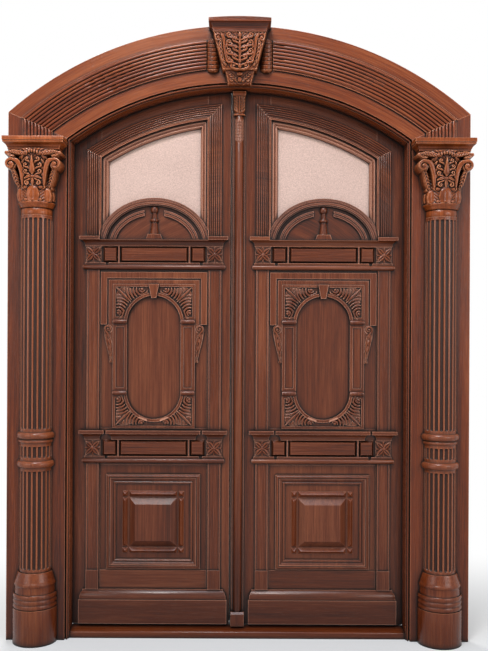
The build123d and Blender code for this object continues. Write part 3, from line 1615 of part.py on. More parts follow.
with BuildPart() as hinge_pins:
    for hinge in hinge_heights:
        with BuildSketch(Plane.XY.offset(hinge)):
            with Locations((hinge_axis_x, hinge_axis_y)):
                Circle(pin_radius)
        extrude(amount=hinge_length)
        for end in (hinge - pin_head_height, hinge + hinge_length):
            with BuildSketch(Plane.XY.offset(end)):
                with Locations((hinge_axis_x, hinge_axis_y)):
                    Circle(pin_head_radius)
            extrude(amount=pin_head_height)
    mirror(about=Plane.YZ)
write(hinge_pins.part, "hinge_pins")
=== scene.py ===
"""Looks of the carved double-leaf entrance door: wood, carving, glass, stage, light and camera.

Sizes of the pieces are in mm, as in the part's source. Shaders, lamps and the camera are in metres.
"""

from __future__ import annotations

import json
import logging
import math
from dataclasses import dataclass
from enum import Enum
from typing import Any, Callable, Iterable, Sequence

import bmesh
import bpy
import numpy as np
from mathutils import Euler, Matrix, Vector

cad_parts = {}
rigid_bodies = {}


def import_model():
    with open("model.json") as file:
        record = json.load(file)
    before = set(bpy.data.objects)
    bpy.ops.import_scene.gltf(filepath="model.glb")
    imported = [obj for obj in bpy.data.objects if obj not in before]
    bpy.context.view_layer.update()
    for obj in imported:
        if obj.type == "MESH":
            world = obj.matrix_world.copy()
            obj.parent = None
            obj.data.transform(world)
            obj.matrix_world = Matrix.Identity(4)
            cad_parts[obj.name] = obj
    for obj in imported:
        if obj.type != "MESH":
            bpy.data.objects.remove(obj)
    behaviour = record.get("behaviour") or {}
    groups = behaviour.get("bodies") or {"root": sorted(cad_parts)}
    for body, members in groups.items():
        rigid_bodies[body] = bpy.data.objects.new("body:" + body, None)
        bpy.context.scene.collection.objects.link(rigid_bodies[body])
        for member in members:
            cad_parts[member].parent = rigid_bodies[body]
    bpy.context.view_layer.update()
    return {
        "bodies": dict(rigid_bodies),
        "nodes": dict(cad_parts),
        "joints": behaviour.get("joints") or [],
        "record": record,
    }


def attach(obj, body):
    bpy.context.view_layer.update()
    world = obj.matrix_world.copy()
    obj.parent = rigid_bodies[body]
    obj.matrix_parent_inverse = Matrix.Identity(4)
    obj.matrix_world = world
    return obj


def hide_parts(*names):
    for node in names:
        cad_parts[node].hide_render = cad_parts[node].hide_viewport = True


LOG = logging.getLogger("door")

Colour = tuple[float, float, float]
Place = tuple[float, float, float]
Range = tuple[float, float]
Profile = Sequence[tuple[float, float]]
Point = tuple[float, float, float, float]
Stroke = tuple[Point, ...]

# One mm in metres, and places of the part in mm, as its source gives them
MM = 0.001
ARCH_CENTRE = 1270.0
LEAF_AXIS = 413.0
COLUMN_AXIS = 961.0
CASING_FRONT = -107.0


class Side(Enum):
    """The two halves of the door, seen from the front."""

    LEFT = -1
    RIGHT = 1

    @property
    def word(self) -> str:
        """The side as the names of nodes and bodies give it."""
        return self.name.lower()


def linear(red: int, green: int, blue: int) -> Colour:
    """Turn an sRGB triple into the colour that a shader takes.

    Args:
        red: red from 0 to 255.
        green: green from 0 to 255.
        blue: blue from 0 to 255.

    Returns:
        The linear colour.
    """

    def channel(value: int) -> float:
        """Linear value of one sRGB channel."""
        share = value / 255
        return share / 12.92 if share <= 0.04045 else ((share + 0.055) / 1.055) ** 2.4

    return channel(red), channel(green), channel(blue)


class Val:
    """A number that varies over a surface: an output socket with arithmetic."""

    def __init__(self, graph: Graph, socket: bpy.types.NodeSocket) -> None:
        """Wrap a socket of a graph."""
        self.graph = graph
        self.socket = socket

    def _math(self, operation: str, first: Any, second: Any = None, clamp: bool = False) -> Val:
        """Add one Math node.

        Args:
            operation: Math node operation.
            first: left operand.
            second: right operand, if the operation has one.
            clamp: whether the result is held between 0 and 1.

        Returns:
            The node's value.
        """
        inputs = {0: first} if second is None else {0: first, 1: second}
        return self.graph.value("ShaderNodeMath", {"operation": operation, "use_clamp": clamp}, inputs)

    def __add__(self, other: Any) -> Val:
        """Sum."""
        return self._math("ADD", self, other)

    def __radd__(self, other: Any) -> Val:
        """Sum with a plain number on the left."""
        return self._math("ADD", other, self)

    def __sub__(self, other: Any) -> Val:
        """Difference."""
        return self._math("SUBTRACT", self, other)

    def __rsub__(self, other: Any) -> Val:
        """Difference from a plain number."""
        return self._math("SUBTRACT", other, self)

    def __mul__(self, other: Any) -> Val:
        """Product."""
        return self._math("MULTIPLY", self, other)

    def __rmul__(self, other: Any) -> Val:
        """Product with a plain number on the left."""
        return self._math("MULTIPLY", other, self)

    def clamped(self) -> Val:
        """The value held between 0 and 1."""
        return self._math("ADD", self, 0.0, clamp=True)

    def root(self) -> Val:
        """Square root."""
        return self._math("SQRT", self)

    def angle_from(self, other: Val) -> Val:
        """Angle whose tangent is this over the other."""
        return self._math("ARCTAN2", self, other)

    def ramp(self, low: float, high: float) -> Val:
        """Rise smoothly from 0 to 1.

        Args:
            low: the value that gives 0.
            high: the value that gives 1.

        Returns:
            The share from 0 to 1.
        """
        settings = {"interpolation_type": "SMOOTHSTEP"}
        inputs = {"Value": self, "From Min": low, "From Max": high}
        return self.graph.value("ShaderNodeMapRange", settings, inputs)


class Graph:
    """Node tree of one material, or of the world."""

    def __init__(self, name: str, world: bool = False) -> None:
        """Start an empty tree.

        Args:
            name: name of the material or the world.
            world: whether it is a world.
        """
        self.owner = bpy.data.worlds.new(name) if world else bpy.data.materials.new(name)
        self.owner.use_nodes = True
        self.tree = self.owner.node_tree
        self.tree.nodes.clear()
        self.output = self.node("ShaderNodeOutputWorld" if world else "ShaderNodeOutputMaterial", {}, {})

    def node(self, kind: str, settings: dict[str, Any], inputs: dict[Any, Any]) -> bpy.types.Node:
        """Add a node.

        Args:
            kind: the node's type.
            settings: attributes, set first. "stops" lists a colour ramp's (place, colour) pairs.
            inputs: value or link of each socket, by name or number.

        Returns:
            The new node.
        """
        made = self.tree.nodes.new(kind)
        for key, setting in settings.items():
            if key == "stops":
                self._set_stops(made.color_ramp, setting)
            else:
                setattr(made, key, setting)
        for key, given in inputs.items():
            self._feed(made.inputs[key], given)
        return made

    @staticmethod
    def _set_stops(ramp: bpy.types.ColorRamp, stops: Sequence[tuple[float, Colour]]) -> None:
        """Give a colour ramp its stops.

        Args:
            ramp: the ramp, with its two first stops.
            stops: (place, colour) pairs in order.
        """
        while len(ramp.elements) < len(stops):
            ramp.elements.new(0.5)
        for element, (place, colour) in zip(ramp.elements, stops):
            element.position = place
            element.color = (*colour, 1.0)

    def _feed(self, socket: bpy.types.NodeSocket, given: Any) -> None:
        """Link or set one input.

        Args:
            socket: the input.
            given: a value, an output socket, or a plain number, vector or colour.
        """
        if isinstance(given, Val):
            self.tree.links.new(given.socket, socket)
        elif isinstance(given, bpy.types.NodeSocket):
            self.tree.links.new(given, socket)
        elif isinstance(given, tuple) and len(given) == 3 and socket.type == "RGBA":
            socket.default_value = (*given, 1.0)
        else:
            socket.default_value = given

    def value(self, kind: str, settings: dict[str, Any], inputs: dict[Any, Any], out: Any = 0) -> Val:
        """Add a node and wrap one of its outputs."""
        return Val(self, self.node(kind, settings, inputs).outputs[out])

    def mix(self, factor: Any, first: Any, second: Any) -> Val:
        """Mix two colours.

        Args:
            factor: share of the second colour.
            first: the first colour.
            second: the second colour.

        Returns:
            The mixed colour.
        """
        settings = {"data_type": "RGBA", "blend_type": "MIX", "clamp_factor": True}
        made = self.node("ShaderNodeMix", settings, {0: factor, 6: first, 7: second})
        return Val(self, made.outputs[2])

    def noise(self, vector: Val, scale: float, detail: float, rough: float, distortion: float = 0.0) -> Val:
        """Add a noise from about 0 to 1.

        Args:
            vector: where it is read.
            scale: how many lumps it has in a unit.
            detail: how many finer layers it has.
            rough: share of the finer layers.
            distortion: how far it is swirled.

        Returns:
            The noise.
        """
        inputs = {
            "Vector": vector,
            "Scale": scale,
            "Detail": detail,
            "Roughness": rough,
            "Distortion": distortion,
        }
        return self.value("ShaderNodeTexNoise", {"noise_dimensions": "3D"}, inputs, "Fac")

    def place(self) -> tuple[Val, Val, Val]:
        """Read where a point of the object lies.

        Returns:
            Its three coordinates in the row frame, in metres.
        """
        coordinates = self.node("ShaderNodeTexCoord", {}, {})
        parts = self.node("ShaderNodeSeparateXYZ", {}, {0: coordinates.outputs["Object"]})
        return Val(self, parts.outputs[0]), Val(self, parts.outputs[1]), Val(self, parts.outputs[2])

    def vector(self, x: Any, y: Any, z: Any) -> Val:
        """A vector from three numbers."""
        return self.value("ShaderNodeCombineXYZ", {}, {0: x, 1: y, 2: z})

    def seen(self) -> Val:
        """Tell what is looked at from what only gives light.

        Returns:
            One where the camera looks, straight, in a reflection or through glass, otherwise zero.
        """
        ray = self.node("ShaderNodeLightPath", {}, {})
        straight, mirrored, through = (
            Val(self, ray.outputs[f"Is {kind} Ray"]) for kind in ("Camera", "Glossy", "Transmission")
        )
        return (straight + mirrored + through).clamped()

    def surface(self, shader: bpy.types.Node) -> Any:
        """Finish the material or the world with this shader."""
        self.tree.links.new(shader.outputs[0], self.output.inputs["Surface"])
        return self.owner


class Grain(Enum):
    """Which way the fibres of a piece run."""

    UPRIGHT = "upright"
    LEVEL = "level"
    ARCHED = "arched"


@dataclass(frozen=True)
class GrainLayer:
    """One scale of the wood's figure: noise that is drawn out along the fibres.

    Lumps are counted per metre. A moved coordinate slides from piece to piece.
    """

    across: float
    along: float
    share: float
    moved: tuple[bool, bool, bool]
    detail: float = 2.0
    rough: float = 0.6
    distortion: float = 0.0

    def noise(self, graph: Graph, fibres: tuple[Val, Val, Val], shift: Val) -> Val:
        """Add the layer to a material.

        Args:
            graph: the material's nodes.
            fibres: coordinates across the fibres, into the piece and along the fibres.
            shift: how far the moved coordinates slide.

        Returns:
            The layer from about 0 to 1.
        """
        scaled = [place * scale for place, scale in zip(fibres, (self.across, self.across, self.along))]
        parts = [place + shift if moved else place for place, moved in zip(scaled, self.moved)]
        return graph.noise(graph.vector(*parts), 1.0, self.detail, self.rough, self.distortion)


FIGURE = GrainLayer(7.0, 0.55, 0.80, (True, False, True), detail=3.0, rough=0.55, distortion=0.9)
WAVES = GrainLayer(62.0, 1.9, 0.50, (True, False, False), detail=3.0, distortion=0.6)
STREAKS = GrainLayer(170.0, 3.4, 0.60, (False, True, False), distortion=0.3)
FIBRE = GrainLayer(420.0, 10.0, 0.50, (False, False, True))
PORES = GrainLayer(900.0, 26.0, 0.45, (True, False, False), detail=1.0, rough=0.5)


@dataclass(frozen=True)
class Wood:
    """Stained and satin-varnished hardwood. Colours are linear, reaches and heights are in metres.

    Painted shade, partly stain, darkens hollows and grooves, and painted shade darkens the foot.
    A painted highlight, partly rubbed wear, lightens edges that stand proud and carved crests.
    """

    name: str
    deep: Colour
    middle: Colour
    pale: Colour
    # Colours of the painted shade (partly stain) for hollows and of the painted highlight (partly wear) for
    # proud edges.
    hollow: Colour
    rubbed: Colour
    roughness: float = 0.25
    coat: float = 0.04
    coat_roughness: float = 0.28
    ior: float = 1.48
    specular: float = 0.32
    tone_places: tuple[float, float, float] = (0.10, 0.50, 0.90)
    piece_shift: float = 37.0
    piece_share: float = 0.22
    # Painted shade that darkens the foot: the heights where it fades out, and its share.
    foot_heights: Range = (0.02, 0.55)
    foot_share: float = 0.42
    arch_stretch: float = 1.5
    pore_range: Range = (0.60, 0.72)
    # Painted shade, partly stain, in hollows, carved dips and grooves: reaches, ranges and shares of its
    # masks.
    hollow_reach: float = 0.036
    hollow_range: Range = (0.08, 0.52)
    hollow_share: float = 0.80
    dip_range: Range = (0.02, 0.95)
    dip_share: float = 0.85
    groove_reach: float = 0.010
    groove_range: Range = (0.07, 0.38)
    groove_share: float = 0.85
    stain_share: float = 0.97
    # Painted highlight, partly rubbed wear, on proud edges and carved crests.
    edge_reach: float = 0.0036
    edge_range: Range = (0.08, 0.50)
    edge_share: float = 0.95
    edge_least: float = 0.55
    edge_figure: float = 0.7
    crest_range: Range = (0.10, 0.90)
    crest_share: float = 0.36
    fibre_height: float = 0.6
    pore_height: float = 0.8
    bump_strength: float = 0.22
    bump_distance: float = 0.0006
    fibre_roughness: float = 0.16
    hollow_roughness: float = 0.20
    pore_roughness: float = 0.10

    def material(self, grain: Grain) -> bpy.types.Material:
        """Build the material for pieces whose fibres run this way.

        Args:
            grain: direction of the fibres.

        Returns:
            The finished material.
        """
        graph = Graph(f"{self.name}_{grain.value}")
        wood, figure, fibre, pores = self._grained(graph, grain)
        carve = graph.value("ShaderNodeAttribute", {"attribute_name": "carve"}, {}, "Fac")
        # Painted shade, partly stain: carved dips and places hidden nearby by ambient occlusion turn towards
        # the near-black colour.
        dip = (0.0 - carve).ramp(*self.dip_range) * self.dip_share
        closed = (self._hidden(graph, self.hollow_reach).ramp(*self.hollow_range) + dip).clamped()
        tight = self._hidden(graph, self.groove_reach).ramp(*self.groove_range)
        stain_and_shade_mask = (closed * self.hollow_share + tight * self.groove_share).clamped()
        wood = graph.mix(stain_and_shade_mask * self.stain_share, wood, self.hollow)
        # Painted highlight, partly rubbed wear: proud edges found by ambient occlusion inside the piece, and
        # carved crests, turn towards the pale colour.
        edge = self._hidden(graph, self.edge_reach, inside=True).ramp(*self.edge_range)
        edge = edge * (self.edge_least + figure * self.edge_figure) * self.edge_share
        crest = carve.ramp(*self.crest_range) * self.crest_share
        wear_and_highlight_mask = edge * (1.0 - stain_and_shade_mask).clamped() + crest
        wood = graph.mix(wear_and_highlight_mask.clamped(), wood, self.rubbed)
        height = fibre * self.fibre_height - pores * self.pore_height
        relief = {"Strength": self.bump_strength, "Distance": self.bump_distance, "Height": height}
        bump = graph.node("ShaderNodeBump", {}, relief)
        rough = self.roughness + (fibre - 0.5) * self.fibre_roughness
        inputs = {
            "Base Color": wood,
            "Roughness": rough + closed * self.hollow_roughness + pores * self.pore_roughness,
            "IOR": self.ior,
            "Specular IOR Level": self.specular,
            "Coat Weight": self.coat,
            "Coat Roughness": self.coat_roughness,
            "Normal": bump.outputs["Normal"],
        }
        return graph.surface(graph.node("ShaderNodeBsdfPrincipled", {}, inputs))

    def _grained(self, graph: Graph, grain: Grain) -> tuple[Val, Val, Val, Val]:
        """Lay the grain and the painted shade at the foot, before the painted shade of hollows and the
        painted highlight of edges.

        Args:
            graph: the material's nodes.
            grain: direction of the fibres.

        Returns:
            The colour, the broad figure, the finest fibre and the open pores.
        """
        fibres = self._fibres(graph, grain)
        chance = graph.value("ShaderNodeObjectInfo", {}, {}, "Random")
        shift = chance * self.piece_shift
        layers = (FIGURE, WAVES, STREAKS, FIBRE, PORES)
        figure, waves, streaks, fibre, pores = (layer.noise(graph, fibres, shift) for layer in layers)
        lines = (waves - 0.5) * WAVES.share + (streaks - 0.5) * STREAKS.share + (fibre - 0.5) * FIBRE.share
        tone = 0.5 + (figure - 0.5) * FIGURE.share + lines + (chance - 0.5) * self.piece_share
        stops = list(zip(self.tone_places, (self.deep, self.middle, self.pale)))
        wood = graph.value("ShaderNodeValToRGB", {"stops": stops}, {"Fac": tone.clamped()})
        # Painted shade: the colour darkens towards the foot of the door.
        raised = graph.place()[2].ramp(*self.foot_heights)
        wood = graph.mix((1.0 - raised) * self.foot_share, wood, self.deep)
        pores = pores.ramp(*self.pore_range)
        return graph.mix(pores * PORES.share, wood, self.deep), figure, fibre, pores

    @staticmethod
    def _hidden(graph: Graph, reach: float, inside: bool = False) -> Val:
        """Measure how much of a point's view is closed nearby.

        Args:
            graph: the material's nodes.
            reach: how far the point looks.
            inside: whether it looks into the piece, where the other face of a proud edge is near.

        Returns:
            Zero where nothing is near, up to one.
        """
        settings = {"samples": 6, "inside": inside}
        made = graph.node("ShaderNodeAmbientOcclusion", settings, {"Distance": reach})
        return 1.0 - Val(graph, made.outputs["AO"])

    def _fibres(self, graph: Graph, grain: Grain) -> tuple[Val, Val, Val]:
        """Find the fibres' own coordinates.

        Args:
            graph: the material's nodes.
            grain: direction of the fibres.

        Returns:
            Coordinates across the fibres, into the piece and along the fibres.
        """
        x, y, z = graph.place()
        if grain is Grain.LEVEL:
            return z, y, x
        if grain is Grain.ARCHED:
            rise = z - ARCH_CENTRE * MM
            radius = (x * x + rise * rise).root()
            return radius, y, x.angle_from(rise) * self.arch_stretch
        return x, y, z


@dataclass(frozen=True)
class FrostedGlass:
    """Pale frosted glass. Colours are linear."""

    name: str = "frosted_glass"
    shaded: Colour = linear(162, 133, 122)
    lit: Colour = linear(229, 199, 187)
    grit_scale: float = 190.0
    grit_share: float = 1.8
    grit_roughness: float = 0.2
    cloud_scale: float = 3.0
    cloud_share: float = 0.4
    roughness: float = 0.42
    ior: float = 1.5
    transmission: float = 0.12
    bump_strength: float = 0.35
    bump_distance: float = 0.0006

    def material(self) -> bpy.types.Material:
        """Build the glass material.

        Returns:
            The finished material.
        """
        graph = Graph(self.name)
        place = graph.vector(*graph.place())
        grit = graph.noise(place, self.grit_scale, 3.0, 0.75)
        cloud = graph.noise(place, self.cloud_scale, 2.0, 0.5)
        tone = (0.5 + (grit - 0.5) * self.grit_share + (cloud - 0.5) * self.cloud_share).clamped()
        relief = {"Strength": self.bump_strength, "Distance": self.bump_distance, "Height": grit}
        bump = graph.node("ShaderNodeBump", {}, relief)
        inputs = {
            "Base Color": graph.mix(tone, self.shaded, self.lit),
            "Roughness": self.roughness + grit * self.grit_roughness,
            "IOR": self.ior,
            "Transmission Weight": self.transmission,
            "Normal": bump.outputs["Normal"],
        }
        return graph.surface(graph.node("ShaderNodeBsdfPrincipled", {}, inputs))


@dataclass(frozen=True)
class AgedBrass:
    """Brass of the hinges, dulled by handling. Colours are linear."""

    name: str = "aged_brass"
    bright: Colour = linear(150, 118, 66)
    dull: Colour = linear(92, 70, 40)
    patch_scale: float = 60.0
    patch_range: Range = (0.35, 0.7)
    roughness: float = 0.32
    patch_roughness: float = 0.25

    def material(self) -> bpy.types.Material:
        """Build the hinge metal.

        Returns:
            The finished material.
        """
        graph = Graph(self.name)
        patch = graph.noise(graph.vector(*graph.place()), self.patch_scale, 3.0, 0.6)
        colour = graph.mix(patch.ramp(*self.patch_range), self.bright, self.dull)
        rough = self.roughness + patch * self.patch_roughness
        inputs = {"Base Color": colour, "Metallic": 1.0, "Roughness": rough}
        return graph.surface(graph.node("ShaderNodeBsdfPrincipled", {}, inputs))


class Finish(Enum):
    """The wood finishes: one per slot of the record, and one for thin carving on the leaves."""

    FRAME = "frame_wood"
    LEAF = "leaf_wood"
    PANEL = "panel_wood"
    CARVED = "carved_wood"
    RELIEF = "relief_wood"


# Each finish's two last colours are painted: near-black shade, partly stain, for hollows and grooves, and a
# pale highlight, partly wear, for proud edges.
WOODS = {
    Finish.FRAME: Wood(
        name="frame_wood",
        deep=linear(42, 12, 5),
        middle=linear(107, 45, 14),
        pale=linear(147, 79, 42),
        hollow=linear(9, 3, 2),
        rubbed=linear(198, 128, 94),
    ),
    Finish.LEAF: Wood(
        name="leaf_wood",
        deep=linear(36, 12, 5),
        middle=linear(93, 41, 17),
        pale=linear(129, 71, 43),
        hollow=linear(9, 3, 2),
        rubbed=linear(189, 134, 110),
    ),
    Finish.PANEL: Wood(
        name="panel_wood",
        deep=linear(38, 12, 5),
        middle=linear(88, 39, 17),
        pale=linear(122, 67, 41),
        hollow=linear(9, 3, 2),
        rubbed=linear(187, 134, 114),
        roughness=0.36,
    ),
    Finish.CARVED: Wood(
        name="carved_wood",
        deep=linear(54, 16, 5),
        middle=linear(124, 56, 14),
        pale=linear(166, 85, 39),
        hollow=linear(26, 8, 2),
        rubbed=linear(214, 142, 102),
        hollow_share=0.68,
        groove_share=0.58,
    ),
    Finish.RELIEF: Wood(
        name="relief_wood",
        deep=linear(50, 16, 7),
        middle=linear(107, 50, 24),
        pale=linear(142, 82, 53),
        hollow=linear(10, 3, 2),
        rubbed=linear(193, 144, 122),
        edge_reach=0.0008,
        hollow_share=0.46,
        groove_share=0.45,
        crest_share=0.62,
    ),
}


class Dresser:
    """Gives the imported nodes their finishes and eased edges. Its sizes are in metres."""

    level = ("threshold", "cross_rails", "entablature_mouldings", "frieze_blocks", "skirting", "keystone_cap")
    arched = ("frame_head", "arch_casing", "arch_reeding", "top_rail", "glazing_surround", "lunette")
    plain = ("frieze_blocks", "panel_arcade", "baluster")
    ease = 0.0011
    weld = 0.00002
    crease = math.radians(28)

    def __init__(self, frame: dict[str, Any]) -> None:
        """Make every material once.

        Args:
            frame: the loaded frame.
        """
        self.nodes: dict[str, bpy.types.Object] = frame["nodes"]
        self.slots = {row["node"]: row["material_slot"] for row in frame["record"]["subparts"]}
        self.woods = {(finish, grain): WOODS[finish].material(grain) for finish in Finish for grain in Grain}
        self.other = {"frosted_glass": FrostedGlass().material(), "hinge_brass": AgedBrass().material()}

    def wood(self, finish: Finish, grain: Grain = Grain.UPRIGHT) -> bpy.types.Material:
        """The material of a finish with its fibres running this way."""
        return self.woods[finish, grain]

    def grain_of(self, node: str) -> Grain:
        """Choose the way that the fibres of a node run.

        Args:
            node: the node's name.

        Returns:
            The direction of its fibres.
        """
        if node.startswith(self.level):
            return Grain.LEVEL
        return Grain.ARCHED if node.startswith(self.arched) else Grain.UPRIGHT

    def dress(self) -> None:
        """Give every shown node its material and soften its edges."""
        for name, node in self.nodes.items():
            slot = self.slots[name]
            node.data.materials.clear()
            if slot in self.other:
                node.data.materials.append(self.other[slot])
                continue
            finish = Finish.LEAF if name.startswith(self.plain) else Finish(slot)
            node.data.materials.append(self.wood(finish, self.grain_of(name)))
            self._ease(node)

    def place(self, piece: bpy.types.Object, body: str, replaced: str = "", slot: str = "") -> None:
        """Let a piece ride on a body.

        Args:
            piece: the piece.
            body: the body that carries it.
            replaced: the node that it stands for, if any.
            slot: not used.
        """
        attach(piece, body)
        if replaced:
            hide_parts(replaced)
        LOG.info("%s rides on %s", piece.name, body)

    def _ease(self, node: bpy.types.Object) -> None:
        """Round a node's sharp edges slightly.

        Args:
            node: the node's object.
        """
        weld = node.modifiers.new("weld", "WELD")
        weld.merge_threshold = self.weld
        bevel = node.modifiers.new("ease", "BEVEL")
        bevel.width = self.ease
        bevel.segments = 2
        bevel.limit_method = "ANGLE"
        bevel.angle_limit = self.crease
        bevel.use_clamp_overlap = True
        bevel.harden_normals = False


def grid_faces(rows: int, columns: int) -> list[tuple[int, int, int, int]]:
    """List the quads of a grid of points.

    Args:
        rows: how many rows of points it has.
        columns: how many points a row has.

    Returns:
        The corners of the quads, as indices into the points, row by row.
    """
    starts = [row * columns + column for row in range(rows - 1) for column in range(columns - 1)]
    return [(start, start + 1, start + columns + 1, start + columns) for start in starts]


def blurred(heights: np.ndarray, times: int) -> np.ndarray:
    """Smooth a height field.

    Args:
        heights: the field.
        times: how many passes over the neighbours are made.

    Returns:
        The smoothed field.
    """
    middle = slice(1, -1)
    for _ in range(times):
        padded = np.pad(heights, 1, mode="edge")
        beside = (padded[:-2, middle], padded[2:, middle], padded[middle, :-2], padded[middle, 2:])
        heights = sum(beside, 4 * heights) / 8
    return heights


class Shape:
    """Vertices, faces and carving depth of one piece, gathered from several parts. Sizes are in mm."""

    def __init__(self) -> None:
        """Start with no parts."""
        self.vertices: list[np.ndarray] = []
        self.faces: list[tuple[int, ...]] = []
        self.carve: list[np.ndarray] = []
        self.count = 0

    def add(
        self, vertices: np.ndarray, faces: Iterable[Sequence[int]], carve: np.ndarray | None = None
    ) -> None:
        """Add one part.

        Args:
            vertices: points, one per row.
            faces: indices into these points.
            carve: how proud each point is of its surroundings, from -1 to 1.
        """
        base = self.count
        self.vertices.append(np.asarray(vertices, float))
        self.faces.extend(tuple(int(index) + base for index in face) for face in faces)
        self.carve.append(np.zeros(len(vertices)) if carve is None else carve)
        self.count += len(vertices)

    def build(self, name: str, material: bpy.types.Material, crease: float = 60.0) -> bpy.types.Object:
        """Make the object.

        Args:
            name: the piece's name.
            material: its finish.
            crease: edges sharper than this many degrees stay sharp.

        Returns:
            The new object, at the origin of the row frame.
        """
        mesh = bpy.data.meshes.new(name)
        mesh.from_pydata((np.concatenate(self.vertices) * MM).tolist(), [], self.faces)
        # The carve value drives the painted highlight on crests and the painted shade in dips in the wood
        # material.
        attribute = mesh.attributes.new("carve", "FLOAT", "POINT")
        attribute.data.foreach_set("value", np.concatenate(self.carve).astype(np.float32))
        self._close(mesh)
        mesh.shade_smooth()
        mesh.set_sharp_from_angle(angle=math.radians(crease))
        mesh.materials.append(material)
        piece = bpy.data.objects.new(name, mesh)
        bpy.context.scene.collection.objects.link(piece)
        return piece

    @staticmethod
    def _close(mesh: bpy.types.Mesh) -> None:
        """Fill the open backs and turn all faces outwards.

        Args:
            mesh: the piece's mesh.
        """
        work = bmesh.new()
        work.from_mesh(mesh)
        bmesh.ops.remove_doubles(work, verts=work.verts, dist=MM / 100)
        rim = [edge for edge in work.edges if edge.is_boundary]
        if rim:
            bmesh.ops.holes_fill(work, edges=rim, sides=0)
        bmesh.ops.recalc_face_normals(work, faces=work.faces)
        work.to_mesh(mesh)
        work.free()

    def turned(self, profile: Profile, axis: float, depth: float, steps: int = 64) -> None:
        """Add a half-round turned part in front of a flat ground.

        Args:
            profile: (height, radius) pairs from the foot up.
            axis: place of the axis across the door.
            depth: depth of the ground that cuts the part in half.
            steps: facets round the half turn.
        """
        angles = np.linspace(0.0, math.pi, steps + 1)
        rows = []
        for height, radius in profile:
            across, out = axis + radius * np.cos(angles), depth - radius * np.sin(angles)
            rows.append(np.stack([across, out, np.full(steps + 1, height)], 1))
        self.add(np.concatenate(rows), grid_faces(len(profile), steps + 1))

    def stepped(self, levels: Profile, axis: float, half: float, depth: float) -> None:
        """Add a moulding that returns round three sides.

        Args:
            levels: (height, projection) pairs from the foot up.
            axis: middle of the moulding across the door.
            half: half its length where the projection is zero.
            depth: depth of the ground behind it.
        """
        rows = []
        for height, out in levels:
            wide, front = half + out, depth - out
            corners = [(-wide, depth), (-wide, front), (wide, front), (wide, depth)]
            rows.append([(axis + x, y, height) for x, y in corners])
        last = 4 * (len(levels) - 1)
        ends = [(0, 1, 2, 3), (last, last + 1, last + 2, last + 3)]
        self.add(np.array(rows).reshape(-1, 3), [*grid_faces(len(levels), 4), *ends])

    def hipped(
        self, middle: tuple[float, float], half: tuple[float, float], ground: float, rise: float
    ) -> None:
        """Add a part shaped like a hipped roof that lies against the door.

        Args:
            middle: (across, up) place of its middle.
            half: half its width and half its height.
            ground: depth of the surface that it lies on.
            rise: how far its ridge stands in front of that surface.
        """
        (x, z), (wide, tall) = middle, half
        hip = min(half)
        base = [(x - wide, z - tall), (x + wide, z - tall), (x + wide, z + tall), (x - wide, z + tall)]
        ridge = [(x - wide + hip, z - tall + hip), (x + wide - hip, z + tall - hip)]
        points = [(a, ground, b) for a, b in base] + [(a, ground - rise, b) for a, b in ridge]
        upright = [(0, 1, 4), (1, 2, 5, 4), (2, 3, 5), (3, 0, 4, 5)]
        level = [(0, 1, 5, 4), (1, 2, 5), (2, 3, 4, 5), (3, 0, 4)]
        self.add(np.array(points), [(0, 1, 2, 3), *(level if wide >= tall else upright)])

    def swept(self, path: Callable[[float], np.ndarray], profile: Profile, closed: bool) -> None:
        """Add a mitred moulding.

        Args:
            path: gives the (across, up) points of the line that lies a given inset inside the outer edge.
            profile: (inset, depth) points of its section.
            closed: whether the line comes back to its start.
        """
        rows = [np.insert(path(inset), 1, depth, axis=1) for inset, depth in profile]
        count = len(rows[0])
        last = (len(rows) - 1) * count
        pairs = [(column, (column + 1) % count) for column in range(count if closed else count - 1)]
        back = [(first, second, last + second, last + first) for first, second in pairs]
        if closed:
            starts = range(0, last, count)
            ends = [(start + count - 1, start, start + count, start + 2 * count - 1) for start in starts]
        else:
            ends = [range(0, last + 1, count), range(count - 1, last + count, count)]
        self.add(np.concatenate(rows), [*grid_faces(len(rows), count), *back, *ends])


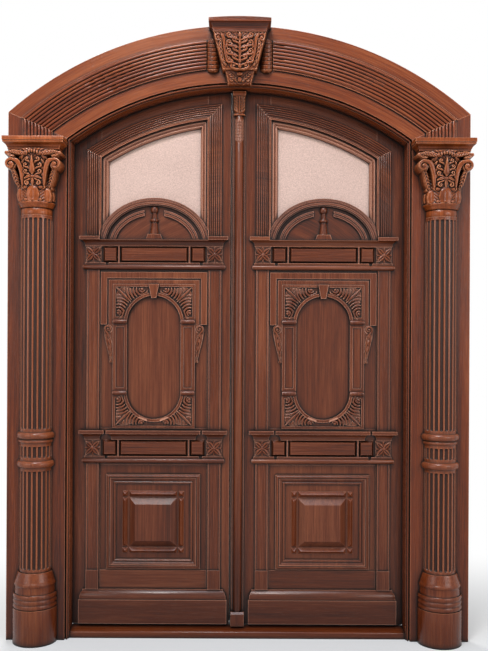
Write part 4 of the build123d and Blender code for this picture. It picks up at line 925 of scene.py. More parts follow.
@dataclass
class Carving:
    """A carved front, as depth in front of a flat ground, built up from strokes. Sizes are in mm.

    A wall is the width of the slope down to the ground at an edge, coil is the share of its radius that
    a spiral loses, and skin is the least depth that is kept.
    """

    left: float
    right: float
    foot: float
    head: float
    pitch: float = 1.2
    wall: float = 1.8
    rib_slant: float = 0.9
    vein_half: float = 0.22
    coil: float = 0.78
    eye_share: float = 0.26
    skin: float = 0.05
    proud_passes: int = 14
    proud_depth: float = 3.0

    def __post_init__(self) -> None:
        """Lay out the grid."""
        across = np.arange(self.left, self.right + self.pitch / 2, self.pitch)
        up = np.arange(self.foot, self.head + self.pitch / 2, self.pitch)
        self.x, self.z = np.meshgrid(across, up)
        self.depth = np.zeros_like(self.x)

    def swell(self, depth: np.ndarray) -> None:
        """Raise the surface to this depth where it is lower."""
        self.depth = np.maximum(self.depth, depth)

    def mirror(self) -> None:
        """Make the two sides of the middle alike."""
        self.swell(self.depth[:, ::-1])

    def _fade(self, beyond: np.ndarray) -> np.ndarray:
        """Share of the height that is left this far outside an edge."""
        drop = np.clip(beyond / self.wall, 0, 1)
        return 1 - drop * drop * (3 - 2 * drop)

    @staticmethod
    def line(points: Sequence[Point], steps: int = 9) -> np.ndarray:
        """Draw a smooth curve.

        Args:
            points: (across, up, half width, depth) that it runs through.
            steps: how many points it gets from one of them to the next.

        Returns:
            The points of the curve, one per row.
        """
        given = np.array(points, float)
        padded = np.vstack([2 * given[0] - given[1], given, 2 * given[-1] - given[-2]])
        share = np.linspace(0, 1, steps, endpoint=False)[:, None]
        runs = []
        for a, b, c, d in zip(padded, padded[1:], padded[2:], padded[3:]):
            square, cube = 2 * a - 5 * b + 4 * c - d, 3 * b - a - 3 * c + d
            runs.append(0.5 * (2 * b + (c - a) * share + square * share**2 + cube * share**3))
        return np.vstack([*runs, given[-1:]])

    @staticmethod
    def _nearest(line: np.ndarray, x: np.ndarray, z: np.ndarray) -> tuple[np.ndarray, ...]:
        """Measure a grid of points against a curve.

        Args:
            line: (across, up, half width, depth) along the curve.
            x: places of the grid's points across the carving.
            z: their heights.

        Returns:
            The distance to the curve, and its half width, depth and share of length where it is nearest.
        """
        best = np.full(x.shape, np.inf)
        width, base, along = np.ones_like(x), np.zeros_like(x), np.zeros_like(x)
        count = len(line) - 1
        for index in range(count):
            start, step = line[index], line[index + 1] - line[index]
            square = max(step[0] ** 2 + step[1] ** 2, 1e-9)
            share = np.clip(((x - start[0]) * step[0] + (z - start[1]) * step[1]) / square, 0, 1)
            far = np.hypot(x - start[0] - share * step[0], z - start[1] - share * step[1])
            near = far < best
            best = np.where(near, far, best)
            width = np.where(near, start[2] + share * step[2], width)
            base = np.where(near, start[3] + share * step[3], base)
            along = np.where(near, (index + share) / count, along)
        return best, width, base, along

    def stroke(
        self, points: Sequence[Point], crown: float, ribs: float = 0.0, rib: float = 0.0, vein: float = 0.0
    ) -> None:
        """Carve one raised stroke.

        Args:
            points: (across, up, half width, depth) along its middle.
            crown: how far its middle stands above its edges.
            ribs: how many slanting ribs it has along its length.
            rib: how deep the grooves between the ribs are.
            vein: depth of a groove along its middle.
        """
        line = self.line(points)
        reach = line[:, 2].max() + self.wall + self.pitch
        low, high = line[:, :2].min(0) - reach, line[:, :2].max(0) + reach
        columns = np.flatnonzero((self.x[0] >= low[0]) & (self.x[0] <= high[0]))
        rows = np.flatnonzero((self.z[:, 0] >= low[1]) & (self.z[:, 0] <= high[1]))
        if not len(columns) or not len(rows):
            return
        window = (slice(rows[0], rows[-1] + 1), slice(columns[0], columns[-1] + 1))
        best, width, base, along = self._nearest(line, self.x[window], self.z[window])
        q = best / np.maximum(width, 0.05)
        inside = np.clip(q, 0, 1)
        turn = 2 * math.pi * (ribs * along + self.rib_slant * inside)
        body = base + crown * np.sqrt(1 - inside**2)
        body -= rib * (0.5 + 0.5 * np.cos(turn)) * (q < 1)
        body -= vein * np.exp(-((inside / self.vein_half) ** 2))
        self.depth[window] = np.maximum(self.depth[window], body * self._fade(best - width))

    def dome(self, across: float, up: float, size: tuple[float, float], depth: float, crown: float) -> None:
        """Carve one oval boss.

        Args:
            across: place of its middle across the carving.
            up: height of its middle.
            size: half its width and half its height.
            depth: depth at its edge.
            crown: how far its middle stands above its edge.
        """
        q = np.hypot((self.x - across) / size[0], (self.z - up) / size[1])
        body = depth + crown * np.sqrt(1 - np.clip(q, 0, 1) ** 2)
        self.swell(body * self._fade((q - 1) * min(size)))

    def scroll(
        self,
        centre: tuple[float, float],
        radius: float,
        turns: float,
        start: float,
        width: float,
        depth: float,
        crown: float,
        lead: Sequence[Point] = (),
        hand: int = 1,
    ) -> None:
        """Carve a spiral that winds into an eye.

        Args:
            centre: place of the eye.
            radius: radius where the spiral begins.
            turns: how many turns it makes.
            start: angle where it begins, in degrees from straight across.
            width: half width of its band where it begins.
            depth: depth of its band.
            crown: how round its band is.
            lead: points of a stem that runs into it.
            hand: 1 winds anticlockwise, -1 clockwise.
        """
        share = np.linspace(0, 1, max(8, round(12 * turns)))
        angle = math.radians(start) + hand * share * turns * 2 * math.pi
        reach = radius * (1 - self.coil * share)
        path = [
            (centre[0] + r * math.cos(a), centre[1] + r * math.sin(a), width * (1 - 0.5 * s), depth + 1.5 * s)
            for r, a, s in zip(reach, angle, share)
        ]
        eye = radius * self.eye_share
        self.dome(*centre, (radius, radius), depth * 0.93 - 2.0, 1.0)
        self.stroke([*lead, *path], crown)
        self.dome(*centre, (eye, eye), depth + 1.0, crown + 1.0)

    def into(
        self,
        shape: Shape,
        centre: float,
        ground: float,
        lift: float = 0.0,
        flip: int = 1,
        turn: int = 1,
        plain: float = 0.0,
    ) -> None:
        """Add the carved surface to a piece.

        Args:
            shape: the piece.
            centre: where the carving's middle lies across the door.
            ground: depth of its ground in the door.
            lift: how far it is moved up.
            flip: -1 turns it the other way round.
            turn: -1 turns it upside down.
            plain: depth of the plain surface round the carving.
        """
        depth = blurred(self.depth, 1)
        solid = depth > self.skin
        cell = solid[:-1, :-1] | solid[1:, :-1] | solid[:-1, 1:] | solid[1:, 1:]
        used = np.zeros(depth.shape, bool)
        for rows in (slice(None, -1), slice(1, None)):
            for columns in (slice(None, -1), slice(1, None)):
                used[rows, columns] |= cell
        number = np.full(depth.shape, -1)
        number[used] = np.arange(used.sum())
        edge = np.ones(depth.shape, bool)
        edge[1:-1, 1:-1] = False
        level = np.where(edge, 0.0, depth)[used]
        relief = np.maximum(depth, plain)
        # This proud value feeds the wood's painted highlight on crests and painted shade in dips.
        proud = np.clip((relief - blurred(relief, self.proud_passes)) / self.proud_depth, -1, 1)
        vertices = np.stack([centre + flip * self.x[used], ground - level, turn * self.z[used] + lift], 1)
        corners = [number[:-1, :-1], number[:-1, 1:], number[1:, 1:], number[1:, :-1]]
        shape.add(vertices, np.stack([corner[cell] for corner in corners], 1), proud[used])


@dataclass
class Column:
    """Fluted shaft of one engaged column, with its ring bands. Sizes are in mm, angles in degrees.

    A ring is its foot, thickness and radius. A run is the foot and head of a stretch of flutes.
    """

    side: Side
    axis: float = COLUMN_AXIS
    ground: float = CASING_FRONT
    foot: float = 336.0
    head: float = 2014.0
    radius: float = 75.0
    flute: float = 8.5
    flute_sink: float = 0.92
    flute_shares: tuple[float, ...] = (1.0, 0.96, 0.85, 0.62, 0.32, 0.0)
    flute_lip: float = 0.4
    pitch: float = 18.0
    margin: float = 14.0
    plain_end: float = 24.0
    land_carve: float = 0.38
    flute_carve: float = 1.3
    rings: tuple[Place, ...] = ((827.0, 33.0, 89.0), (943.0, 17.0, 82.0), (962.0, 32.0, 89.0))
    runs: Profile = ((336.0, 827.0), (860.0, 943.0), (994.0, 2014.0))

    def _heights(self) -> np.ndarray:
        """Choose the heights of the rows of points.

        Returns:
            The heights, close together at the rings and the flutes' ends.
        """
        rows = [self.foot, self.head]
        for foot, thick, _ in self.rings:
            rows.extend(foot + thick * (0.5 - 0.5 * np.cos(np.linspace(0, math.pi, 13))))
        end = self.flute * np.sin(np.linspace(0, math.pi / 2, 7))
        for foot, head in self.runs:
            rows.extend(foot + self.margin + self.flute - end)
            rows.extend(head - self.margin - self.flute + end)
            rows.extend(np.linspace(foot + self.plain_end, head - self.plain_end, 6))
        return np.unique(np.round(rows, 2))

    def _angles(self) -> np.ndarray:
        """Choose the angles of the points round the shaft.

        Returns:
            The angles, close together at the flutes' edges.
        """
        half = self.pitch / 2
        edge = math.degrees(self.flute / self.radius)
        inside = [-share * edge for share in self.flute_shares]
        steps = np.array([-half, -edge - self.flute_lip, *inside])
        around = np.concatenate([steps, -steps[-2:0:-1]])
        centres = np.arange(half, 180, self.pitch)
        return np.append((centres[:, None] + around).ravel(), 180.0)

    def build(self, dresser: Dresser) -> None:
        """Make the shaft and let it stand for the plain one.

        Args:
            dresser: gives the finish and places the piece.
        """
        turn, z = np.meshgrid(self._angles(), self._heights())
        radius = np.full(z.shape, self.radius)
        for foot, thick, out in self.rings:
            place = np.clip(np.abs((z - foot) / thick * 2 - 1), 0, 1)
            radius += np.where(place < 1, (out - self.radius) * np.sqrt(1 - place**2), 0)
        off = np.radians((turn % self.pitch) - self.pitch / 2) * self.radius
        off = np.where(turn >= 180, self.radius, off)
        sunk = np.zeros(z.shape)
        for foot, head in self.runs:
            low, high = foot + self.margin + self.flute, head - self.margin - self.flute
            beyond = np.maximum(low - z, 0) + np.maximum(z - high, 0)
            sunk = np.maximum(sunk, np.sqrt(np.maximum(self.flute**2 - off**2 - beyond**2, 0)))
        radius -= sunk * self.flute_sink
        # The carve value paints a highlight on the lands between the flutes and shade in the flutes.
        carve = self.land_carve - self.flute_carve * sunk / self.flute
        lean = np.radians(turn)
        middle = self.side.value * self.axis
        points = np.stack([middle + radius * np.cos(lean), self.ground - radius * np.sin(lean), z], -1)
        shape = Shape()
        shape.add(points.reshape(-1, 3), grid_faces(*z.shape), carve.ravel())
        for level in (0, -1):
            shape.add(points[level], [range(len(points[level]))])
        piece = shape.build(f"fluted_shaft_{self.side.word}", dresser.wood(Finish.FRAME), 40.0)
        dresser.place(piece, "frame", f"column_shaft_{self.side.word}")


@dataclass
class Capital:
    """Carved capital of one column: turned neck, leafy bell with two volutes, abacus. Sizes are in mm.

    The carving is given for one half and mirrored. Leaves and stems are points of a stroke, whose depth
    is over the bell or, for the hanging leaf, the stem's head and the corner, over the ground.
    """

    side: Side
    axis: float = COLUMN_AXIS
    ground: float = CASING_FRONT
    half: float = 142.8
    foot: float = 2073.0
    head: float = 2318.0
    bell: Profile = ((2073.0, 82.0), (2130.0, 85.0), (2225.0, 89.0), (2318.0, 102.0))
    neck: Profile = (
        (2014.0, 0.0),
        (2014.0, 73.0),
        (2016.0, 74.5),
        (2043.0, 74.5),
        (2046.5, 71.5),
        (2047.5, 76.0),
        (2050.0, 79.0),
        (2055.0, 80.0),
        (2061.0, 83.0),
        (2066.0, 86.6),
        (2070.0, 88.6),
        (2074.0, 88.0),
        (2076.0, 84.0),
        (2076.0, 0.0),
    )
    abacus: Profile = (
        (2316.0, 72.0),
        (2318.0, 74.0),
        (2326.0, 74.0),
        (2327.0, 76.0),
        (2331.0, 77.2),
        (2336.0, 80.0),
        (2341.0, 84.4),
        (2346.0, 90.4),
        (2348.0, 91.4),
        (2348.5, 93.6),
        (2357.0, 93.6),
        (2357.8, 95.9),
        (2374.4, 95.9),
        (2376.0, 94.6),
    )
    abacus_half: float = 47.0
    sink: float = 5.0
    feather: float = 3.4
    feather_pitch: float = 15.0
    feather_slant: float = 0.9
    lobe_turns: tuple[float, ...] = (0.0, 48.0, 78.0)
    lobe_radius: float = 79.0
    lobe_half: float = 28.0
    bead_turns: tuple[float, ...] = (24.0, 63.0)
    bead_radius: float = 81.0
    tongue: Stroke = ((0, 2198, 5, 14), (0, 2214, 12.5, 18), (0, 2244, 8, 18), (0, 2282, 1.5, 14))
    curls: tuple[tuple[float, float, float, int], ...] = (
        (31, 2212, 10, 1),
        (32, 2241, 10, 1),
        (24, 2268, 9, 1),
        (25, 2158, 12, -1),
    )
    head_beads: Profile = ((0, 2303), (12, 2301), (24, 2297), (36, 2294))
    button: float = 2187.0
    button_leaves: tuple[Stroke, ...] = (
        ((0, 2182, 4, 8), (0, 2164, 7, 11), (0, 2140, 3, 7)),
        ((5, 2188, 4, 8), (21, 2186, 7, 11), (38, 2180, 4, 8)),
    )
    small_leaves: tuple[Place, ...] = (
        (46, 2258, -4),
        (58, 2276, -8),
        (46, 2282, -4),
        (43, 2228, -2),
        (43, 2198, -2),
    )
    foot_curls: Profile = ((72, 2140), (44, 2140))
    hanging: Stroke = ((68, 2142, 7, 52), (79, 2168, 11.5, 60), (88, 2197, 12, 68), (97, 2226, 8, 76))
    stem: Stroke = ((49, 2150, 5, 10), (51, 2176, 7.5, 14), (54, 2206, 9.0, 18))
    stem_head: Stroke = ((61, 2236, 10.5, 86.0), (74, 2259, 10.5, 91.0))
    volute: tuple[float, float] = (103.0, 2245.0)
    volute_radius: float = 24.0
    corner: Stroke = ((26, 2289, 5, 97), (58, 2297, 10, 95), (92, 2303, 9.5, 91), (118, 2301, 5, 88))
    corner_sprig: Stroke = ((90, 2284, 5, 86), (108, 2288, 7, 88), (126, 2303, 4, 86))

    def _on(self, across: float, up: float, proud: float) -> float:
        """Depth of a point that stands this far in front of the bell."""
        radius = float(np.interp(up, *zip(*self.bell)))
        return math.sqrt(max(radius**2 - across**2, 0.0)) + proud - self.sink

    def _run(self, points: Sequence[Point]) -> list[Point]:
        """Stroke points given as (across, up, half width, height over the bell)."""
        return [(x, z, w, self._on(x, z, proud)) for x, z, w, proud in points]

    def _collar(self, carving: Carving) -> None:
        """Carve the collar of lobes and the beads between them.

        Args:
            carving: the bell's front.
        """
        for turn in self.lobe_turns:
            x, y = self.lobe_radius * math.sin(math.radians(turn)), math.cos(math.radians(turn))
            half, base = self.lobe_half * y + 3, self.lobe_radius * y + 3
            blade = [(x, 2088, half * 0.9, base), (x, 2104, half, base + 3), (x, 2120, half * 0.86, base + 4)]
            carving.stroke(blade, 8.0, vein=1.6)
        for turn in self.bead_turns:
            x, y = self.bead_radius * math.sin(math.radians(turn)), math.cos(math.radians(turn))
            carving.dome(x, 2081, (7 * y + 2, 8), 81 * y + 5, 6.0)
            carving.dome(x, 2139, (11 * y + 2, 8), 80 * y + 7, 7.0)
        carving.dome(0, 2080, (8, 8), 87, 6.0)

    def _leaves(self, carving: Carving) -> None:
        """Carve the tongue, the curls beside it and the leaves between them.

        Args:
            carving: the bell's front.
        """
        carving.stroke(self._run(self.tongue), 8.0)
        for x, z, size, hand in self.curls:
            lead = [(6, z - hand * 22, 3, 8), (x * 0.62, z - hand * (size + 4), 4.5, 11)]
            depth = self._on(x, z, 11)
            carving.scroll((x, z), size, 1.15, -100.0 * hand, 4.2, depth, 4.5, self._run(lead), hand)
        for x, z in self.head_beads:
            carving.dome(x, z, (5.5, 8.0), self._on(x, z, 12), 6.0)
        carving.dome(0, self.button, (9, 8), self._on(0, self.button, 12), 6.0)
        for blade in self.button_leaves:
            carving.stroke(self._run(blade), 6.0, vein=2.5)
        for x, z, lean in self.small_leaves:
            blade = [(x + 6, z - 14, 3, 6), (x + 2, z - 4, 6, 9), (x + lean, z + 8, 3, 9)]
            carving.stroke(self._run(blade), 5.5, vein=2.5)
        for x, z in self.foot_curls:
            depth = self._on(x, z, 4)
            carving.scroll((x, z), 9.0, 1.1, 80.0, 4.0, depth, 4.5, [(x - 4, z + 20, 3, depth)], -1)

    def _volute(self, carving: Carving) -> None:
        """Carve one volute with its stem, hanging leaf and corner leaf.

        Args:
            carving: the bell's front.
        """
        carving.stroke(self.hanging, 10.0, 6.0, 4.5, 2.5)
        stem = [*self._run(self.stem), *self.stem_head]
        carving.scroll(self.volute, self.volute_radius, 1.15, 118.0, 8.0, 92.0, 4.0, stem, -1)
        carving.dome(*self.volute, (9.5, 9.5), 94, 7.0)
        carving.stroke(self.corner, 6.0, 8.0, 3.4)
        carving.dome(123, 2298, (9, 9), 86, 7.0)
        carving.stroke(self.corner_sprig, 5.0, vein=2.5)

    def build(self, dresser: Dresser) -> None:
        """Make the capital and let it stand for the plain one.

        Args:
            dresser: gives the finish and places the piece.
        """
        carving = Carving(-self.half, self.half, self.foot, self.head)
        radius = np.interp(carving.z, *zip(*self.bell))
        slanting = carving.z - self.feather_slant * np.abs(carving.x)
        wave = np.abs(np.sin(math.pi * slanting / self.feather_pitch))
        carving.swell(np.sqrt(np.maximum((radius - self.feather * (1 - wave)) ** 2 - carving.x**2, 0)))
        self._collar(carving)
        self._leaves(carving)
        self._volute(carving)
        carving.mirror()
        middle = self.side.value * self.axis
        shape = Shape()
        carving.into(shape, middle, self.ground)
        shape.turned(self.neck, middle, self.ground)
        shape.stepped(self.abacus, middle, self.abacus_half, self.ground)
        piece = shape.build(f"carved_capital_{self.side.word}", dresser.wood(Finish.CARVED))
        dresser.place(piece, "frame", f"capital_{self.side.word}")


@dataclass
class Keystone:
    """Carved keystone with its pendant, and the scalloped rolls beside it. Sizes are in mm.

    The carving is given for one half and mirrored. Depths of strokes are over the body's front, and the
    pendant's over the ground. A curl is the foot of its stem, its place and its radius.
    """

    ground: float = CASING_FRONT
    half: float = 127.2
    foot: float = 2699.0
    head: float = 2866.0
    swelling: float = 4.0
    pendant_foot: float = 2641.0
    body_half: tuple[float, float] = (81.0, 125.5)
    body_depth: tuple[float, float] = (58.0, 84.0)
    pendant_half: tuple[float, float] = (55.5, 69.5)
    pendant_depth: tuple[float, float] = (20.0, 44.0)
    roll_axis: float = 126.6
    roll_radius: float = 31.0
    roll_depth: float = 30.4
    roll_head: float = 2858.0
    roll_ends: tuple[float, float] = (0.15, 0.12)
    lobes: int = 8
    feather: float = 3.0
    feather_pitch: float = 14.0
    feather_slant: float = 0.8
    volute: tuple[float, float] = (102.0, 2838.0)
    side_leaf: Stroke = (
        (66, 2718, 6, 4),
        (80, 2742, 10, 6),
        (88, 2776, 11, 7),
        (90, 2806, 9, 7),
        (88, 2830, 6, 5),
    )
    volute_stem: Stroke = (
        (52, 2726, 4, 5),
        (68, 2760, 5, 8),
        (72, 2796, 6, 10),
        (76, 2832, 7, 10),
        (86, 2852, 7, 8),
    )
    curls: tuple[Point, ...] = (
        (2700, 30, 2716, 13),
        (2716, 52, 2742, 13),
        (2738, 22, 2756, 13),
        (2754, 50, 2778, 14),
        (2776, 21, 2794, 13),
        (2792, 50, 2816, 14),
        (2814, 22, 2832, 13),
        (2826, 50, 2850, 11),
    )
    small_leaves: Profile = ((36, 2734), (36, 2768), (36, 2806), (36, 2842), (64, 2764), (64, 2800))
    stem: Stroke = ((0, 2702, 6, 5), (0, 2750, 5, 9), (0, 2800, 5, 9), (0, 2860, 3, 6))
    stem_beads: tuple[float, ...] = (2712, 2736, 2774, 2812, 2848)
    pendant_leaf: Stroke = ((54, 2692, 5, 40), (36, 2677, 11, 38), (14, 2655, 5, 30))

    def _body(self, up: float | np.ndarray) -> np.ndarray:
        """Find how deep the body's front is.

        Args:
            up: one height, or several.

        Returns:
            The depth in front of the ground at each height.
        """
        share = np.clip((up - self.foot) / (self.head - self.foot), 0, 1)
        plane = np.interp(up, (self.foot, self.head), self.body_depth)
        return plane + self.swelling * np.sin(math.pi * share)

    def _run(self, points: Sequence[Point]) -> list[Point]:
        """Stroke points given as (across, up, half width, height over the body)."""
        return [(x, z, w, float(self._body(z)) + proud) for x, z, w, proud in points]

    def _foliage(self, carving: Carving) -> None:
        """Carve the side leaves under their volutes and the curls that rise from the middle stem.

        Args:
            carving: the keystone's front.
        """
        carving.stroke(self._run(self.side_leaf), 7.0, 7.0, 4.0, 2.0)
        carving.scroll(self.volute, 18.5, 1.2, 130.0, 6.0, 84.0, 4.5, self._run(self.volute_stem), -1)
        carving.dome(*self.volute, (7.5, 7.5), 87, 5.0)
        for foot, across, up, size in self.curls:
            depth = float(self._body(up)) + 6
            lead = self._run([(2, foot, 3.5, 6), (across * 0.6, up - size - 4, 4.5, 8)])
            carving.scroll((across, up), size, 1.15, -100.0, 5.6, depth, 5.0, lead)
        for x, z in self.small_leaves:
            blade = self._run([(x - 7, z - 9, 2.5, 5), (x, z, 5.5, 8), (x + 8, z + 9, 2.5, 5)])
            carving.stroke(blade, 4.5, vein=2.2)
        carving.stroke(self._run(self.stem), 5.0)
        for z in self.stem_beads:
            carving.dome(0, z, (8, 11), float(self._body(z)) + 9, 6.0)

    def _pendant(self, carving: Carving) -> None:
        """Carve the two leaf scrolls and the bud of the pendant.

        Args:
            carving: the keystone's front.
        """
        carving.stroke(self.pendant_leaf, 6.0, 4.0, 4.0, 2.0)
        carving.scroll((40, 2660), 10.0, 1.2, 60.0, 4.0, 30.0, 4.0)
        carving.dome(0, 2662, (10, 12), 36, 6.0)
        carving.dome(0, 2685, (15, 9), 46, 6.0)

    def _roll(self) -> Carving:
        """Carve one roll of overlapping lobes.

        Returns:
            The roll's front.
        """
        carving = Carving(-self.roll_radius, self.roll_radius, self.foot + 0.6, self.roll_head, 1.0)
        across = np.clip(np.abs(carving.x) / self.roll_radius, 0, 1)
        share = (carving.z - self.foot) / (self.roll_head - self.foot)
        low, high = self.roll_ends
        ends = np.sqrt(1 - (1 - np.clip(np.minimum(share / low, (1 - share) / high), 0, 1)) ** 2)
        lap = (share * self.lobes + 0.45 * (1 - across**2)) % 1.0
        step = 0.80 + 0.20 * np.sqrt(1 - (1 - lap) ** 2) - 0.10 * np.exp(-((lap / 0.10) ** 2))
        section = np.sqrt(np.maximum(1 - np.maximum(across / np.maximum(ends, 0.05), 0) ** 2, 0))
        carving.swell(self.roll_depth * section * np.sqrt(np.maximum(1 - (1 - ends) ** 2, 0)) * step)
        return carving

    def build(self, dresser: Dresser) -> None:
        """Make the keystone and its rolls, which stand for the plain ones.

        Args:
            dresser: gives the finish and places the pieces.
        """
        carving = Carving(-self.half, self.half, self.pendant_foot, self.head)
        upper = carving.z >= self.foot
        body, pendant = (self.foot, self.head), (self.pendant_foot, self.foot)
        wide = np.interp(carving.z, body, self.body_half)
        half = np.where(upper, wide, np.interp(carving.z, pendant, self.pendant_half))
        depth = np.interp(carving.z, pendant, self.pendant_depth)
        depth = np.where(upper, self._body(carving.z), depth)
        inside = np.clip((half - np.abs(carving.x)) / 2.0, 0, 1)
        slanting = carving.z - self.feather_slant * np.abs(carving.x)
        wave = np.abs(np.sin(math.pi * slanting / self.feather_pitch))
        carving.swell((depth + self.feather * wave) * inside)
        self._foliage(carving)
        self._pendant(carving)
        carving.mirror()
        carving.depth *= inside
        shape = Shape()
        carving.into(shape, 0.0, self.ground)
        piece = shape.build("carved_keystone", dresser.wood(Finish.CARVED))
        dresser.place(piece, "frame", "keystone")
        rolls = Shape()
        for side in Side:
            self._roll().into(rolls, side.value * self.roll_axis, self.ground, flip=side.value)
        piece = rolls.build("scalloped_rolls", dresser.wood(Finish.CARVED))
        dresser.place(piece, "frame", "keystone_leaves")


@dataclass
class Astragal:
    """Carved head and husk drop of the moulding on the meeting stile. Sizes are in mm."""

    ground: float = 0.3
    pitch: float = 0.8
    head_half: float = 33.0
    head_foot: float = 2523.0
    head_top: float = 2635.0
    cap_foot: float = 2615.0
    cap_half: float = 32.6
    cap_depth: float = 53.8
    cap_shares: tuple[float, ...] = (0.0, 0.90, 1.0, 1.0)
    neck_half: tuple[float, float] = (22.0, 30.0)
    neck_depth: tuple[float, float] = (34.0, 45.0)
    leaf_count: int = 6
    leaf_pitch: float = 13.5
    midrib: Stroke = ((0, 2536, 2.5, 38), (0, 2612, 4, 48))
    husk_half: float = 19.0
    husk_foot: float = 2400.0
    husk_pitch: float = 15.0
    husk_count: int = 7
    husk_plain: float = 26.0

    def _head(self) -> Carving:
        """Carve the neck with its leaves and the cap above it.

        Returns:
            The head's front.
        """
        carving = Carving(-self.head_half, self.head_half, self.head_foot, self.head_top, self.pitch)
        z, x = carving.z, np.abs(carving.x)
        neck = (self.head_foot, self.cap_foot)
        half = np.interp(z, neck, self.neck_half)
        depth = np.interp(z, neck, self.neck_depth)
        carving.swell(depth * np.sqrt(np.maximum(1 - (x / half) ** 4, 0)))
        heights = (self.cap_foot - 6, self.cap_foot, self.cap_foot + 7, self.head_top)
        cap = np.interp(z, heights, self.cap_shares)
        carving.swell(self.cap_depth * cap * np.clip((self.cap_half * np.maximum(cap, 0.5) - x) / 1.5, 0, 1))
        carving.dome(0, self.head_foot + 5, (25, 6), 30, 6.0)
        for step in range(self.leaf_count):
            up = self.head_foot + 12 + step * self.leaf_pitch
            deep = float(np.interp(up, neck, self.neck_depth))
            blade = [(2, up, 3.5, deep), (12, up + 8, 6, deep + 2), (24, up + 19, 3, deep - 2)]
            carving.stroke(blade, 4.5, vein=2.5)
        carving.stroke(self.midrib, 4.5)
        carving.mirror()
        return carving

    def _husks(self) -> Carving:
        """Carve the drop of husks.

        Returns:
            The drop's front.
        """
        foot = self.husk_foot
        carving = Carving(-self.husk_half, self.husk_half, foot - 12, foot + 114, self.pitch)
        carving.stroke([(0, foot, 2, 29.5), (0, foot + 106, 3, 30)], 3.5)
        for step in range(self.husk_count):
            up = foot + step * self.husk_pitch
            blade = [(2, up, 2.5, 29.5), (9, up + 6, 4.6, 28.5), (15, up + 13, 2, 24.5)]
            carving.stroke(blade, 4.0, vein=1.5)
        carving.dome(0, foot - 4, (6, 6), 29, 5.0)
        carving.mirror()
        return carving

    def build(self, dresser: Dresser) -> None:
        """Make the head, which stands for the plain one, and the husks on the shaft.

        Args:
            dresser: gives the finishes and places the pieces.
        """
        head, husks = Shape(), Shape()
        self._head().into(head, 0.0, self.ground)
        piece = head.build("carved_astragal_head", dresser.wood(Finish.CARVED))
        dresser.place(piece, "leaf_right", "astragal_head")
        self._husks().into(husks, 0.0, self.ground, plain=self.husk_plain)
        dresser.place(husks.build("husk_drop", dresser.wood(Finish.RELIEF)), "leaf_right")


@dataclass
class MeetingStrip:
    """Slim seal on the lip of the left leaf that darkens the joint between the leaves. Sizes are in mm."""

    foot: float = 47.0
    head: float = 2650.0
    root: float = -39.4
    tip: float = -38.08
    front: float = 41.0
    back: float = 47.0
    nose: float = 0.4

    def build(self, dresser: Dresser) -> None:
        """Make the strip with its rounded nose.

        Args:
            dresser: gives the finish and places the piece.
        """
        section = [
            (self.root, self.front),
            (self.tip - self.nose, self.front),
            (self.tip, self.front + 1),
            (self.tip, self.back - 1),
            (self.tip - self.nose, self.back),
            (self.root, self.back),
        ]
        count = len(section)
        points = [(x, y, z) for z in (self.foot, self.head) for x, y in section]
        sides = [(i, (i + 1) % count, (i + 1) % count + count, i + count) for i in range(count)]
        shape = Shape()
        shape.add(np.array(points), [*sides, range(count), range(count, 2 * count)])
        piece = shape.build("meeting_seal", dresser.wood(Finish.LEAF), 30.0)
        dresser.place(piece, "leaf_left", slot="leaf_wood")


